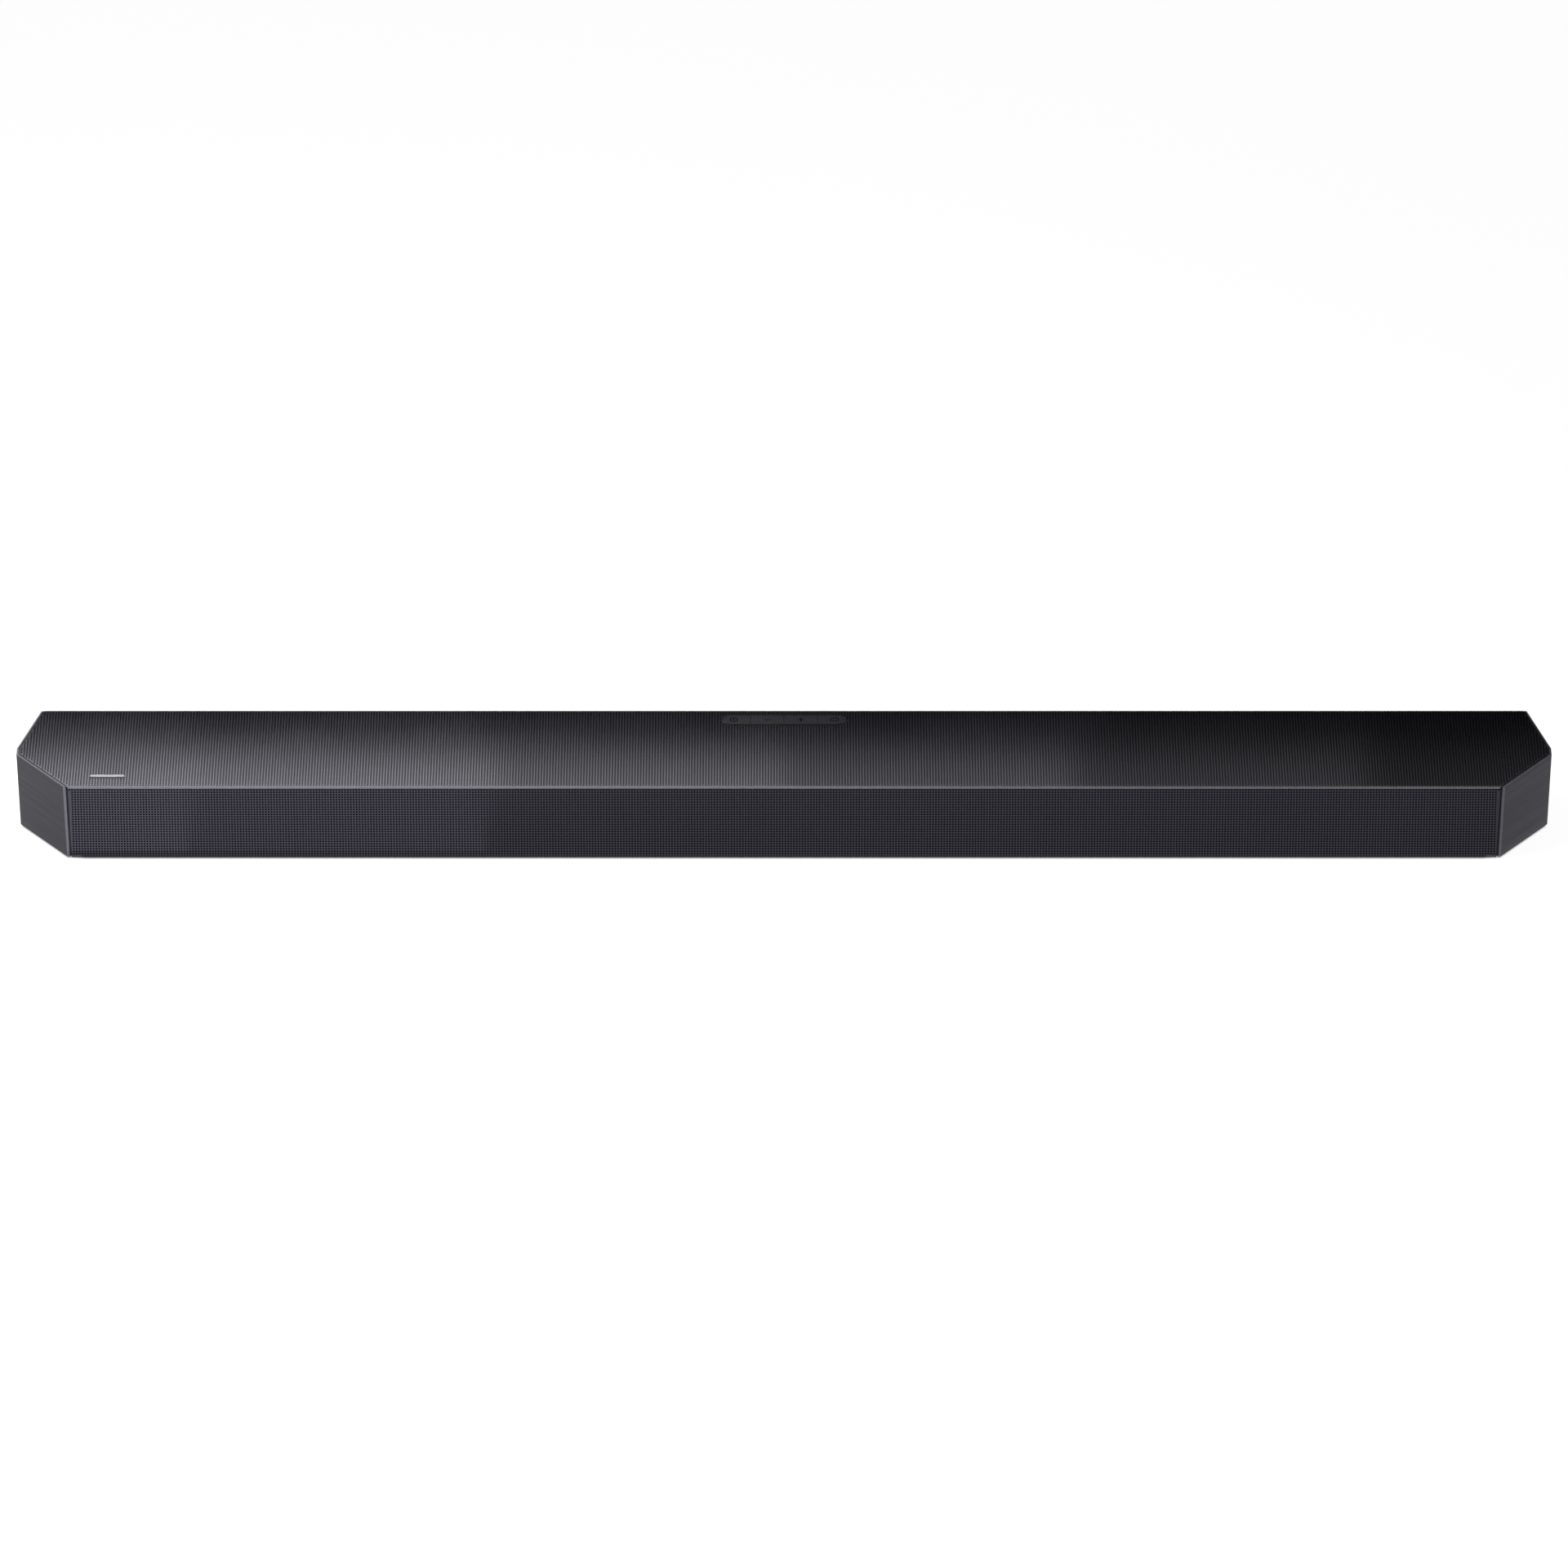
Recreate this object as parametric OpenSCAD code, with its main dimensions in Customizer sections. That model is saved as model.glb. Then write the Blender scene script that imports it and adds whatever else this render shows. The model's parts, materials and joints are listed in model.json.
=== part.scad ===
// Long television soundbar with a bent perforated grille, moulded end caps and four top keys.
// Origin at the centre of the base, +X to the right, +Y to the back, +Z up, the front faces -Y.

/* [Body] */
// Overall width at the two widest corners
bar_w = 1030.8; // [1024:0.1:1040]
// Overall depth from the grille's face to the rear cover's face
bar_d = 105; // [104.5:0.5:108]
// Height of the top plate above the table
top_z = 56.1; // [56:0.1:58]
// Height of the underside above the table
base_z = 1.6; // [1.4:0.1:2]
// Width of each front corner cut, along X
front_cut_x = 33.9; // [32:0.1:36]
// Depth of each front corner cut, along Y
front_cut_y = 43.6; // [42:0.1:46]
// Length of the short straight side between the two corner cuts
side_flat = 8.8; // [7:0.1:11]
// Width of each gentle rear corner cut, along X
rear_cut_x = 14.5; // [13:0.1:15.5]
// How far each end leans in from the top to the base
draft_x = 1.5; // [0.5:0.1:2]

/* [Shells] */
// Thickness of the grille's steel sheet
sheet_t = 0.8; // [0.6:0.1:0.9]
// Thickness of the acoustic cloth behind the grille
cloth_t = 0.3; // [0.2:0.05:0.35]
// Width of the end cap's rim around the top plate
rim_w = 1.4; // [1.2:0.1:1.6]
// Gap between the grille and the end cap's rim
seam = 0.7; // [0.4:0.05:0.8]
// Width of the groove between the grille's front and the end cap's lip
lip_gap = 1.5; // [0.8:0.1:1.6]
// Wall of the moulded shells
wall = 2.2; // [2:0.1:2.4]
// How far in from the widest corner the end caps reach
cap_reach = 44.4; // [44:0.1:45]

/* [Controls] */
// Length of the control pad
pad_l = 83.5; // [82:0.5:86]
// Width of the control pad
pad_w = 13; // [12.5:0.5:14]
// How far the pad stands above the top plate
pad_rise = 0.6; // [0.4:0.1:0.9]
// Distance between neighbouring key symbols
key_pitch = 22.6; // [22:0.1:23]
// Travel of a key
key_travel = 0.6; // [0.4:0.1:0.6]
// Gap around each key
key_gap = 0.2; // [0.2:0.05:0.35]

/* [Speakers] */
// Length of a racetrack driver's flange
woofer_l = 92; // [88:1:94]
// Height of a racetrack driver's flange
woofer_h = 42; // [40:1:43]
// Flange radius of an upward driver
up_r = 29; // [28:0.5:29.5]

/* [Connections] */
// Width of the recess for the signal sockets
bay_w = 100; // [98:1:102]
// Width of the recess for the power socket
power_bay_w = 40; // [34:1:42]
// Distance between the two wall bracket inserts
bracket_span = 660; // [650:1:665]
// Bore of a bracket insert, for an M4 thread
insert_bore = 3.3; // [3.2:0.05:3.4]

/* [Hidden] */
$fn = 48;

half_w = bar_w / 2;
y_front = -bar_d / 2;
y_back = bar_d / 2;
side_y0 = y_front + front_cut_y;
side_y1 = side_y0 + side_flat;
rear_cut_y = y_back - side_y1;
back_bulge = 2.2;
bulge_drop = 4.5;
foot_round = 0.5;
groove_deep = 2;
plate_back_y = y_back - back_bulge - 0.3;
cap_x = half_w - cap_reach;

// Levels, from the top down
plate_under_z = top_z - sheet_t;
cloth_under_z = plate_under_z - cloth_t;
shelf_z = cloth_under_z - 0.2;
deck_z = top_z - 3.6;
deck_t = 2.5;
floor_z = base_z + 2;

// Chassis
chassis_x = cap_x - 0.3;
baffle_y = y_front + 7;
baffle_t = 3.5;
deck_back_y = y_back - 3.5;
divider_x = 205;
driver_z = (deck_z + floor_z) / 2;
wire_pass_y = 5;
wire_pass_z = 30;

// Rear cover
rear_x = half_w - rear_cut_x - 2.9;
rear_in_y = y_back - wall;
rear_top_z = top_z - 0.5;
bay_x = -25;
power_bay_x = 80;
bay_face_y = y_back - 22.5;
bay_top_z = 24;
bay_wall = 2;

// Speakers: places along X, left to right
woofer_places = [-385, -265, -80, 80, 265, 385];
tweeter_places = [-325, 0, 325];
up_place = [438, 14];
gasket_t = 0.8;
flange_t = 2.2;
basket_deep = 10;
cone_l = woofer_l - 20;
cone_h = woofer_h - 15;
coil_r = 9.7;
magnet_r = 17;
magnet_top = -basket_deep - 2.5;
magnet_t = 13;
up_seat_z = deck_z - 7;
up_cone_r = up_r - 10.6;
woofer_screw_places = [
    for (sx = [-1, 1], sy = [-1, 1]) [sx * (woofer_l / 2 - 7), sy * (woofer_h / 2 - 6.2)]
];
tweeter_screw_r = 13;
up_screw_angles = [45, 135, 225, 315];

// Controls
pad_y = y_back - 15.3;
pad_z = top_z + pad_rise;
bezel_rim = 1.2;
slot_l = pad_l - 2 * bezel_rim;
slot_w = pad_w - 2 * bezel_rim;
key_board_z = 45.4;
switch_top_z = key_board_z + 4.6;
stem_end_z = switch_top_z + key_travel + 0.1;
key_screw_x = 46;

// Badge
badge_l = 23.6;
badge_w = 3.5;
badge_x = -half_w + 62.4;
badge_y = y_front + 14;

// Electronics
board_z = 8;
board_t = 1.6;
board_x = 110;
board_y0 = y_front + 42.5;
board_y1 = bay_face_y - bay_wall - 0.5;
socket_z = board_z + board_t;
hdmi_places = [-60, -38];
optical_x = -16;
usb_x = 6;
status_x = 165;
status_z = 40;
status_screw_places = [status_x - 17, status_x + 17];

// Fasteners
case_screw_places = [
    [148, y_front + 16.5], [456, y_front + 16.5],
    [120, y_back - 8.5], [205, y_back - 8.5], [330, y_back - 8.5], [456, y_back - 8.5]
];
rear_screw_places = [145, 290, 400];
rear_screw_z = 44;
cap_screw_places = [[-22, 28], [30, 28]];
board_screw_places = [[-104, -4], [104, -4], [-104, 22], [104, 22]];
foot_places = [[430, -36], [430, 36]];

// ---- Plan shapes ----

// The plan outline, leaned in by draft, with its corner cuts carried on past the front and past the back
function outline(draft, past_front, past_back) =
    let (
        front_x = half_w - draft - front_cut_x - past_front * front_cut_x / front_cut_y,
        side_x = half_w - draft,
        back_x = half_w - draft - rear_cut_x - past_back * rear_cut_x / rear_cut_y
    )
    [
        [-front_x, y_front - past_front], [front_x, y_front - past_front],
        [side_x, side_y0], [side_x, side_y1],
        [back_x, y_back + past_back], [-back_x, y_back + past_back],
        [-side_x, side_y1], [-side_x, side_y0]
    ];

// A convex anticlockwise polygon with every edge moved in by d
function inset(p, d) =
    let (n = len(p))
    [for (i = [0:n - 1])
        let (
            u = p[i] - p[(i + n - 1) % n],
            v = p[(i + 1) % n] - p[i],
            a = [-u[1], u[0]] / norm(u),
            b = [-v[1], v[0]] / norm(v)
        )
        p[i] + d * (a + b) / (1 + a * b)
    ];

// How far the ends have leaned in at height z
function draft_at(z) = draft_x * (top_z - z) / (top_z - base_z);

// Half width of the grille's front at height z
function front_edge(z) =
    half_w - front_cut_x - draft_at(z)
    - (rim_w + seam) * norm([front_cut_x, front_cut_y]) / front_cut_y;

module slice(points, z) {
    translate([0, 0, z]) linear_extrude(0.02) polygon(points);
}

// A round-ended bar shape of length l and width w
module stadium(l, w) {
    for (side = [-1, 1]) translate([side * (l - w) / 2, 0]) circle(d = w);
    square([l - w, w], center = true);
}

// The plan outline inset at both ends only, from y0 to y1
module end_inset(d, y0, y1) {
    intersection() {
        polygon(inset(outline(0, 12, 12), d));
        translate([-half_w, y0]) square([bar_w, y1 - y0]);
    }
}

module at_both(places) {
    for (side = [-1, 1], p = places) translate([side * p[0], p[1], 0]) children();
}

// ---- Outer shells ----

module grille() color("#3a3940") difference() {
    union() {
        translate([0, 0, plate_under_z])
            linear_extrude(sheet_t) end_inset(rim_w + seam, y_front, plate_back_y);
        translate([0, y_front + sheet_t, 0]) rotate([90, 0, 0]) linear_extrude(sheet_t)
            polygon([
                [-front_edge(base_z), base_z], [front_edge(base_z), base_z],
                [front_edge(top_z), top_z], [-front_edge(top_z), top_z]
            ]);
    }
    translate([0, pad_y, 0]) linear_extrude(100) stadium(pad_l + 0.4, pad_w + 0.4);
    badge_pins(0.6, 4);
}

module acoustic_cloth() color("#0d0d0f") difference() {
    union() {
        translate([0, 0, cloth_under_z])
            linear_extrude(cloth_t) end_inset(rim_w + seam + 1.6, y_front + sheet_t, plate_back_y - 1);
        translate([-cap_x - 5, y_front + sheet_t, base_z + 1])
            cube([2 * cap_x + 10, cloth_t, plate_under_z - base_z - 1]);
    }
    translate([0, pad_y, 0]) linear_extrude(100) stadium(pad_l + 7, pad_w + 7);
    badge_pins(0.6, 4);
}

// The drafted outer form of the whole bar: its back swells below the top edge and its foot is rounded in
module body_form() {
    bulge_z = top_z - bulge_drop;
    round_z = base_z + foot_round;
    hull() {
        slice(outline(0, 0, -back_bulge), top_z - 0.02);
        slice(outline(draft_at(bulge_z), 0, 0), bulge_z);
        slice(outline(draft_at(round_z), 0, 0), round_z);
        slice(inset(outline(draft_at(base_z), 0, 0), foot_round), base_z);
    }
}

module end_cap() difference() {
    boss_r = 4;
    union() {
        difference() {
            intersection() {
                body_form();
                translate([cap_x, y_front, 0]) cube([cap_reach, bar_d, 2 * top_z]);
            }
            intersection() {
                hull() {
                    slice(inset(outline(draft_at(shelf_z - wall), 0, 0), wall), shelf_z - wall);
                    slice(inset(outline(draft_at(base_z + wall), 0, 0), wall), base_z + wall);
                }
                translate([0, y_front + groove_deep + wall, 0]) cube([half_w, bar_d, top_z]);
            }
        }
        intersection() {
            body_form();
            for (p = cap_screw_places)
                translate([cap_x, p[0], p[1]]) rotate([0, 90, 0]) cylinder(r = boss_r, h = cap_reach);
        }
    }
    translate([0, 0, plate_under_z - 0.1]) linear_extrude(5) end_inset(rim_w, y_front - 1, y_back + 1);
    translate([0, 0, shelf_z]) linear_extrude(5) end_inset(rim_w + seam + 1.4, y_front - 1, y_back + 1);
    translate([0, y_front + groove_deep, 0]) rotate([90, 0, 0]) linear_extrude(5)
        polygon([
            [0, 0], [front_edge(base_z) + lip_gap, 0], [front_edge(base_z) + lip_gap, base_z],
            [front_edge(top_z) + lip_gap, top_z], [0, top_z]
        ]);
    translate([0, rear_in_y - 0.2, 0]) cube([rear_x + 0.3, 10, 2 * top_z]);
    for (p = cap_screw_places)
        translate([cap_x - 1, p[0], p[1]]) rotate([0, 90, 0]) cylinder(r = 1.25, h = 13);
}

module end_cap_right() color("#45444c") end_cap();

module end_cap_left() color("#45444c") mirror([1, 0, 0]) end_cap();

module rear_cover() color("#1b1b1e") difference() {
    vent_pitch = 6;
    translate([-rear_x, 0, 0]) rotate([90, 0, 90]) linear_extrude(2 * rear_x) polygon([
        [rear_in_y, base_z], [y_back, base_z], [y_back, top_z - bulge_drop],
        [rear_in_y + 0.3, rear_top_z], [rear_in_y, rear_top_z]
    ]);
    tray_block(bay_x, bay_w, 0.1);
    tray_block(power_bay_x, power_bay_w, 0.1);
    for (side = [-1, 1], i = [0:9])
        translate([side * (350 + i * vent_pitch) - 1, rear_in_y - 1, 14]) cube([2, 5, 26]);
    for (side = [-1, 1], x = rear_screw_places)
        translate([side * x, y_back + 1, rear_screw_z]) rotate([90, 0, 0]) {
            cylinder(r = 1.7, h = 10);
            cylinder(r = 3.2, h = 2.4);
        }
}

// The outer block of a socket tray for a recess of width w; gap grows it on every side
module tray_block(x, w, gap) {
    translate([x - w / 2 - bay_wall - gap, bay_face_y - bay_wall - gap, base_z - gap]) cube([
        w + 2 * (bay_wall + gap),
        y_back - bay_face_y + bay_wall + 10 * gap,
        bay_top_z + bay_wall - base_z + 2 * gap
    ]);
}

// A tray let into the rear cover, open to the back and below, with a window for each socket
module socket_tray(x, w, windows) difference() {
    tray_block(x, w, 0);
    translate([x - w / 2, bay_face_y, 0]) cube([w, bar_d, bay_top_z]);
    for (win = windows) translate([win[0] - win[1] / 2, bay_face_y - bay_wall - 1, socket_z - 0.3])
        cube([win[1], bay_wall + 2, win[2]]);
}

module signal_tray() color("#1b1b1e") socket_tray(bay_x, bay_w, concat(
    [for (x = hdmi_places) [x, 15.6, 6.6]], [[usb_x, 15, 7.6], [optical_x, 10.6, 10.6]]
));

module power_tray() color("#1b1b1e") socket_tray(power_bay_x, power_bay_w, [[power_bay_x, 9.6, 11.6]]);

module bottom_cover() color("#1b1b1e") difference() {
    union() {
        translate([-chassis_x, y_front + 1.2, base_z])
            cube([2 * chassis_x, rear_in_y - y_front - 1.5, floor_z - base_z]);
        for (side = [-1, 1])
            translate([side * bracket_span / 2, 20, base_z]) cylinder(r = 5.5, h = 10);
        for (p = board_screw_places)
            translate([p[0], p[1], base_z]) cylinder(r = 3.5, h = board_z - base_z);
    }
    tray_block(bay_x, bay_w, 0.3);
    tray_block(power_bay_x, power_bay_w, 0.3);
    at_both(case_screw_places) {
        cylinder(r = 1.7, h = 10);
        cylinder(r = 3.1, h = base_z + 0.9);
    }
    at_both(foot_places) linear_extrude(base_z + 0.8) stadium(36.4, 14.4);
    for (side = [-1, 1])
        translate([side * bracket_span / 2, 20, 0]) cylinder(r = 3.05, h = base_z + 8.2);
    for (p = board_screw_places) translate([p[0], p[1], floor_z]) cylinder(r = 1.05, h = 10);
    for (side = [-1, 1], i = [0:11])
        translate([side * (250 + i * 6) - 1, -18, 0]) cube([2, 26, 10]);
}

// ---- Chassis ----

module chassis() color("#232327") difference() {
    union() {
        translate([-chassis_x, baffle_y, floor_z + 0.3])
            cube([2 * chassis_x, baffle_t, deck_z - floor_z - 0.3]);
        translate([-chassis_x, baffle_y, deck_z - deck_t])
            cube([2 * chassis_x, deck_back_y - baffle_y, deck_t]);
        for (x = [-chassis_x, -divider_x - 1, divider_x - 1, chassis_x - 2.5])
            translate([x, baffle_y, floor_z + 0.3])
                cube([abs(x) < 300 ? 2 : 2.5, deck_back_y - baffle_y, deck_z - floor_z - 0.3]);
        at_both(case_screw_places)
            translate([0, 0, floor_z + 0.3]) cylinder(r = 4.3, h = deck_z - floor_z - 1);
        for (side = [-1, 1], x = rear_screw_places)
            translate([side * x, rear_in_y - 0.3, rear_screw_z]) rotate([90, 0, 0]) {
                cylinder(r = 4, h = 12);
                translate([-1, 0, 0]) cube([2, deck_z - rear_screw_z - 1, 12]);
            }
        for (x = [-330, -205, -120, 120, 205, 330])
            translate([x - 1, baffle_y, deck_z - 1])
                cube([2, deck_back_y - baffle_y, shelf_z - deck_z + 1]);
        for (side = [-1, 1])
            translate([side * up_place[0], up_place[1], up_seat_z - 2.5])
                cylinder(r = up_r + 1.8, h = deck_z - up_seat_z + 2.5, $fn = 96);
        for (s = [-1, 1]) translate([s * key_screw_x, pad_y, 0])
            cylinder_between(2.5, key_board_z + 1.7, deck_z - 1);
    }
    for (x = woofer_places)
        translate([x, 0, driver_z]) rotate([90, 0, 0])
            linear_extrude(bar_d) stadium(woofer_l - 11, woofer_h - 3);
    for (x = tweeter_places) translate([x, 0, driver_z]) rotate([90, 0, 0]) cylinder(r = 9.3, h = bar_d);
    for (side = [-1, 1]) translate([side * up_place[0], up_place[1], 0]) {
        cylinder(r = up_r - 4.3, h = bar_d, $fn = 96);
        translate([0, 0, up_seat_z]) cylinder(r = up_r + 0.3, h = bar_d, $fn = 96);
    }
    translate([0, pad_y, 20]) linear_extrude(bar_d) stadium(pad_l - 8, 8);
    for (x = [-divider_x, divider_x])
        translate([x - 5, wire_pass_y, wire_pass_z]) rotate([0, 90, 0]) cylinder(r = 3, h = 10);
    at_both(case_screw_places) cylinder(r = 1.25, h = 16);
    for (side = [-1, 1], x = rear_screw_places)
        translate([side * x, y_back, rear_screw_z]) rotate([90, 0, 0]) cylinder(r = 1.25, h = 12);
    for (side = [-1, 1], p = cap_screw_places)
        translate([side * chassis_x, p[0], p[1]]) rotate([0, 90, 0])
            cylinder(r = 1.7, h = 20, center = true);
    for (x = woofer_places, s = woofer_screw_places)
        translate([x + s[0], baffle_y + baffle_t + 1, driver_z + s[1]]) rotate([90, 0, 0])
            cylinder(r = 1.25, h = 20);
    for (x = tweeter_places, s = [-1, 1])
        translate([x, baffle_y + baffle_t + 1, driver_z + s * tweeter_screw_r]) rotate([90, 0, 0])
            cylinder(r = 1.05, h = 20);
    for (side = [-1, 1], a = up_screw_angles)
        translate([side * up_place[0], up_place[1], up_seat_z - 5]) rotate([0, 0, a])
            translate([up_r - 2.2, 0, 0]) cylinder(r = 1.05, h = 20);
    for (s = status_screw_places)
        translate([s, baffle_y + baffle_t + 1, status_z]) rotate([90, 0, 0]) cylinder(r = 1.05, h = 20);
    for (s = [-1, 1])
        translate([s * key_screw_x, pad_y, 20]) cylinder(r = 1.05, h = deck_z - 20 - 1);
}

// ---- Controls ----

module pill(l, w, z0, z1) translate([0, pad_y, z0]) linear_extrude(z1 - z0) stadium(l, w);

module control_bezel() color("#2f2e35") difference() {
    flange_z = deck_z + 0.1;
    union() {
        pill(pad_l, pad_w, flange_z, pad_z);
        pill(pad_l + 4.5, pad_w + 4.5, flange_z, cloth_under_z - 0.1);
    }
    pill(slot_l, slot_w, 0, 100);
    pill(pad_l, pad_w, 0, deck_z + 1.9);
}

// A key between x0 and x1: cap, flange below the bezel's edge, and stem over its switch
module key_cap(x0, x1, stem_x) color("#2f2e35") {
    flange_top = deck_z + 1.8;
    intersection() {
        union() {
            pill(slot_l - 2 * key_gap, slot_w - 2 * key_gap, flange_top - 0.5, pad_z - 0.05);
            pill(slot_l + 1.4, slot_w + 1.4, flange_top - 0.8, flange_top);
            translate([stem_x, pad_y, stem_end_z]) cylinder(r = 2, h = flange_top - stem_end_z);
        }
        translate([x0, pad_y - pad_w, 0]) cube([x1 - x0, 2 * pad_w, 2 * top_z]);
    }
}

module power_key() key_cap(-slot_l, -key_pitch - key_gap / 2, -1.5 * key_pitch);
module volume_down_key() key_cap(-key_pitch + key_gap / 2, -key_gap / 2, -0.5 * key_pitch);
module volume_up_key() key_cap(key_gap / 2, key_pitch - key_gap / 2, 0.5 * key_pitch);
module source_key() key_cap(key_pitch + key_gap / 2, slot_l, 1.5 * key_pitch);

module key_board() color("darkgreen") difference() {
    translate([-50, pad_y - 6, key_board_z]) cube([100, 12, 1.6]);
    for (s = [-1, 1]) translate([s * key_screw_x, pad_y, 0]) cylinder(r = 1.3, h = 100);
}

module tact_switches() color("#c9c9cc") for (i = [-1.5:1:1.5]) translate([i * key_pitch, pad_y, 0]) {
    translate([-3, -3, key_board_z + 1.6]) cube([6, 6, 2.5]);
    cylinder_between(1.7, key_board_z + 4, switch_top_z);
}

module cylinder_between(r, z0, z1) translate([0, 0, z0]) cylinder(r = r, h = z1 - z0);

// The flat flexible cable from the key board down to the main board
module ribbon_cable() color("#e8e8ea") translate([30, 0, 0]) rotate([90, 0, 90]) linear_extrude(8)
    polygon([
        [pad_y - 6.4, key_board_z + 0.2], [pad_y - 6.4, key_board_z + 0.5], [pad_y - 16, key_board_z - 4],
        [12, 24], [12, socket_z + 2.6], [12.3, socket_z + 2.6], [12.3, 23.9],
        [pad_y - 15.8, key_board_z - 4.2]
    ]);

module badge_pins(r, h) {
    for (x = [-8, 8]) translate([badge_x + x, badge_y, top_z + 0.1 - h]) cylinder(r = r, h = h);
}

module badge() color("#d8d8dc") {
    translate([badge_x, badge_y, top_z]) linear_extrude(0.5) stadium(badge_l, badge_w);
    badge_pins(0.5, 1.6);
}

// ---- Racetrack drivers, built about a baffle face at z = 0 with the cone facing +Z ----

module at_woofer(x) translate([x, baffle_y, driver_z]) rotate([90, 0, 0]) children();
module at_woofers() for (x = woofer_places) at_woofer(x) children();

module woofer_baskets() color("#2b2b2e") at_woofers() difference() {
    union() {
        translate([0, 0, gasket_t]) linear_extrude(flange_t) stadium_plate();
        translate([0, 0, -basket_deep - 2]) linear_extrude(basket_deep + 2 + gasket_t)
            stadium(woofer_l - 12, woofer_h - 4);
    }
    translate([0, 0, -basket_deep]) linear_extrude(50) stadium(woofer_l - 16.4, woofer_h - 8.4);
    translate([0, 0, -50]) cylinder(r = 13.2, h = 100);
    for (side = [-1, 1]) translate([side * 26, 0, -50]) linear_extrude(50) stadium(16, 12);
    for (s = woofer_screw_places) translate([s[0], s[1], 0]) cylinder(r = 1.7, h = 10);
}

// Flange outline: a rounded bar with screw ears at its four corners
module stadium_plate() {
    stadium(woofer_l, woofer_h);
    for (s = woofer_screw_places) translate(s) circle(r = 5);
}

module woofer_surrounds() color("#151517") at_woofers() difference() {
    roll = 1.6;
    union() {
        translate([0, 0, gasket_t + 0.2]) linear_extrude(1) stadium(woofer_l - 16.8, woofer_h - 8.8);
        translate([0, 0, gasket_t + 0.2]) linear_extrude(roll) difference() {
            stadium(woofer_l - 17.4, woofer_h - 10);
            stadium(cone_l + 0.6, cone_h + 0.6);
        }
    }
    translate([0, 0, -1]) linear_extrude(20) stadium(cone_l + 0.3, cone_h + 0.3);
}

module woofer_spiders() color("#c8a46a") at_woofers() {
    translate([0, 0, -basket_deep + 0.1]) rotate_extrude()
        polygon([
            [coil_r + 0.15, 0.6], [12, 1.2], [14, 0.2], [16, 0.2], [16, 0.6], [14.2, 0.6],
            [12, 1.6], [coil_r + 0.15, 1]
        ]);
}

module woofer_magnets() color("#8d8f94") at_woofers() magnet(magnet_r);

// A cup magnet with a ring gap for the coil, its top at magnet_top
module magnet(r) {
    translate([0, 0, magnet_top - magnet_t]) difference() {
        cylinder(r = r, h = magnet_t);
        translate([0, 0, 3]) difference() {
            cylinder(r = coil_r + 0.5, h = magnet_t);
            cylinder(r = coil_r - 1.2, h = magnet_t - 3);
        }
    }
    translate([0, 0, magnet_top]) difference() {
        cylinder(r = 13, h = 2.4);
        translate([0, 0, -1]) cylinder(r = coil_r + 0.5, h = 5);
    }
}

// The coil tube with its winding, joined to the cone's neck at z = neck_z
module coil(neck_z) translate([0, 0, -17]) difference() {
    union() {
        cylinder(r = coil_r - 0.1, h = 17 + neck_z);
        cylinder(r = coil_r, h = 5);
    }
    translate([0, 0, -1]) cylinder(r = coil_r - 0.6, h = 40);
}

module woofer_cone(i) color("#3c3c40") at_woofer(woofer_places[i]) {
    rim_z = gasket_t + 0.8;
    neck_z = -6.2;
    difference() {
        hull() {
            translate([0, 0, rim_z - 0.5]) linear_extrude(0.5) stadium_32(cone_l, cone_h);
            translate([0, 0, neck_z]) cylinder(r = coil_r, h = 0.4, $fn = 32);
        }
        hull() {
            translate([0, 0, rim_z]) linear_extrude(0.5) stadium_32(cone_l - 1.4, cone_h - 1.4);
            translate([0, 0, neck_z + 0.8]) cylinder(r = coil_r - 0.7, h = 0.4, $fn = 32);
        }
        translate([0, 0, neck_z - 1]) cylinder(r = coil_r - 0.6, h = 3);
    }
    translate([0, 0, neck_z + 1]) rotate_extrude()
        polygon(concat(dome_arc(coil_r - 0.2, 3.6), [for (i = [6:-1:0]) dome_arc(coil_r - 0.9, 3)[i]]));
    coil(neck_z + 0.3);
}

// Points of a quarter arc from the rim of a dome to its crown
function dome_arc(r, h) = [for (i = [0:6]) [r * cos(i * 15), h * sin(i * 15)]];

module stadium_32(l, w) {
    for (side = [-1, 1]) translate([side * (l - w) / 2, 0]) circle(d = w, $fn = 32);
    square([l - w, w], center = true);
}

module cone_left_outer() woofer_cone(0);
module cone_left_inner() woofer_cone(1);
module cone_centre_left() woofer_cone(2);
module cone_centre_right() woofer_cone(3);
module cone_right_inner() woofer_cone(4);
module cone_right_outer() woofer_cone(5);

// ---- Tweeters ----

module at_tweeters() for (x = tweeter_places)
    translate([x, baffle_y, driver_z]) rotate([90, 0, 0]) children();

module tweeter_bodies() color("#2b2b2e") at_tweeters() difference() {
    union() {
        linear_extrude(2) stadium_upright();
        translate([0, 0, -12]) cylinder(r = 9, h = 12);
    }
    translate([0, 0, -1.5]) cylinder(r = 7.4, h = 10);
    for (s = [-1, 1]) translate([0, s * tweeter_screw_r, -1]) cylinder(r = 1.3, h = 10);
}

module stadium_upright() rotate(90) stadium(33, 22);

module tweeter_domes() color("#101012") at_tweeters() translate([0, 0, -1.5]) rotate_extrude()
    polygon(concat(
        [[5.9, 0], [7.2, 0], [7.2, 0.5], [6.35, 0.5]],
        [for (i = [1:6]) dome_arc(6.4, 3.4)[i]],
        [for (i = [6:-1:1]) dome_arc(5.9, 2.9)[i]]
    ));

// ---- Upward drivers, built about their seat at z = 0 with the cone facing +Z ----

module at_up(side) translate([side * up_place[0], up_place[1], up_seat_z]) children();
module at_ups() for (side = [-1, 1]) at_up(side) children();

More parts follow.
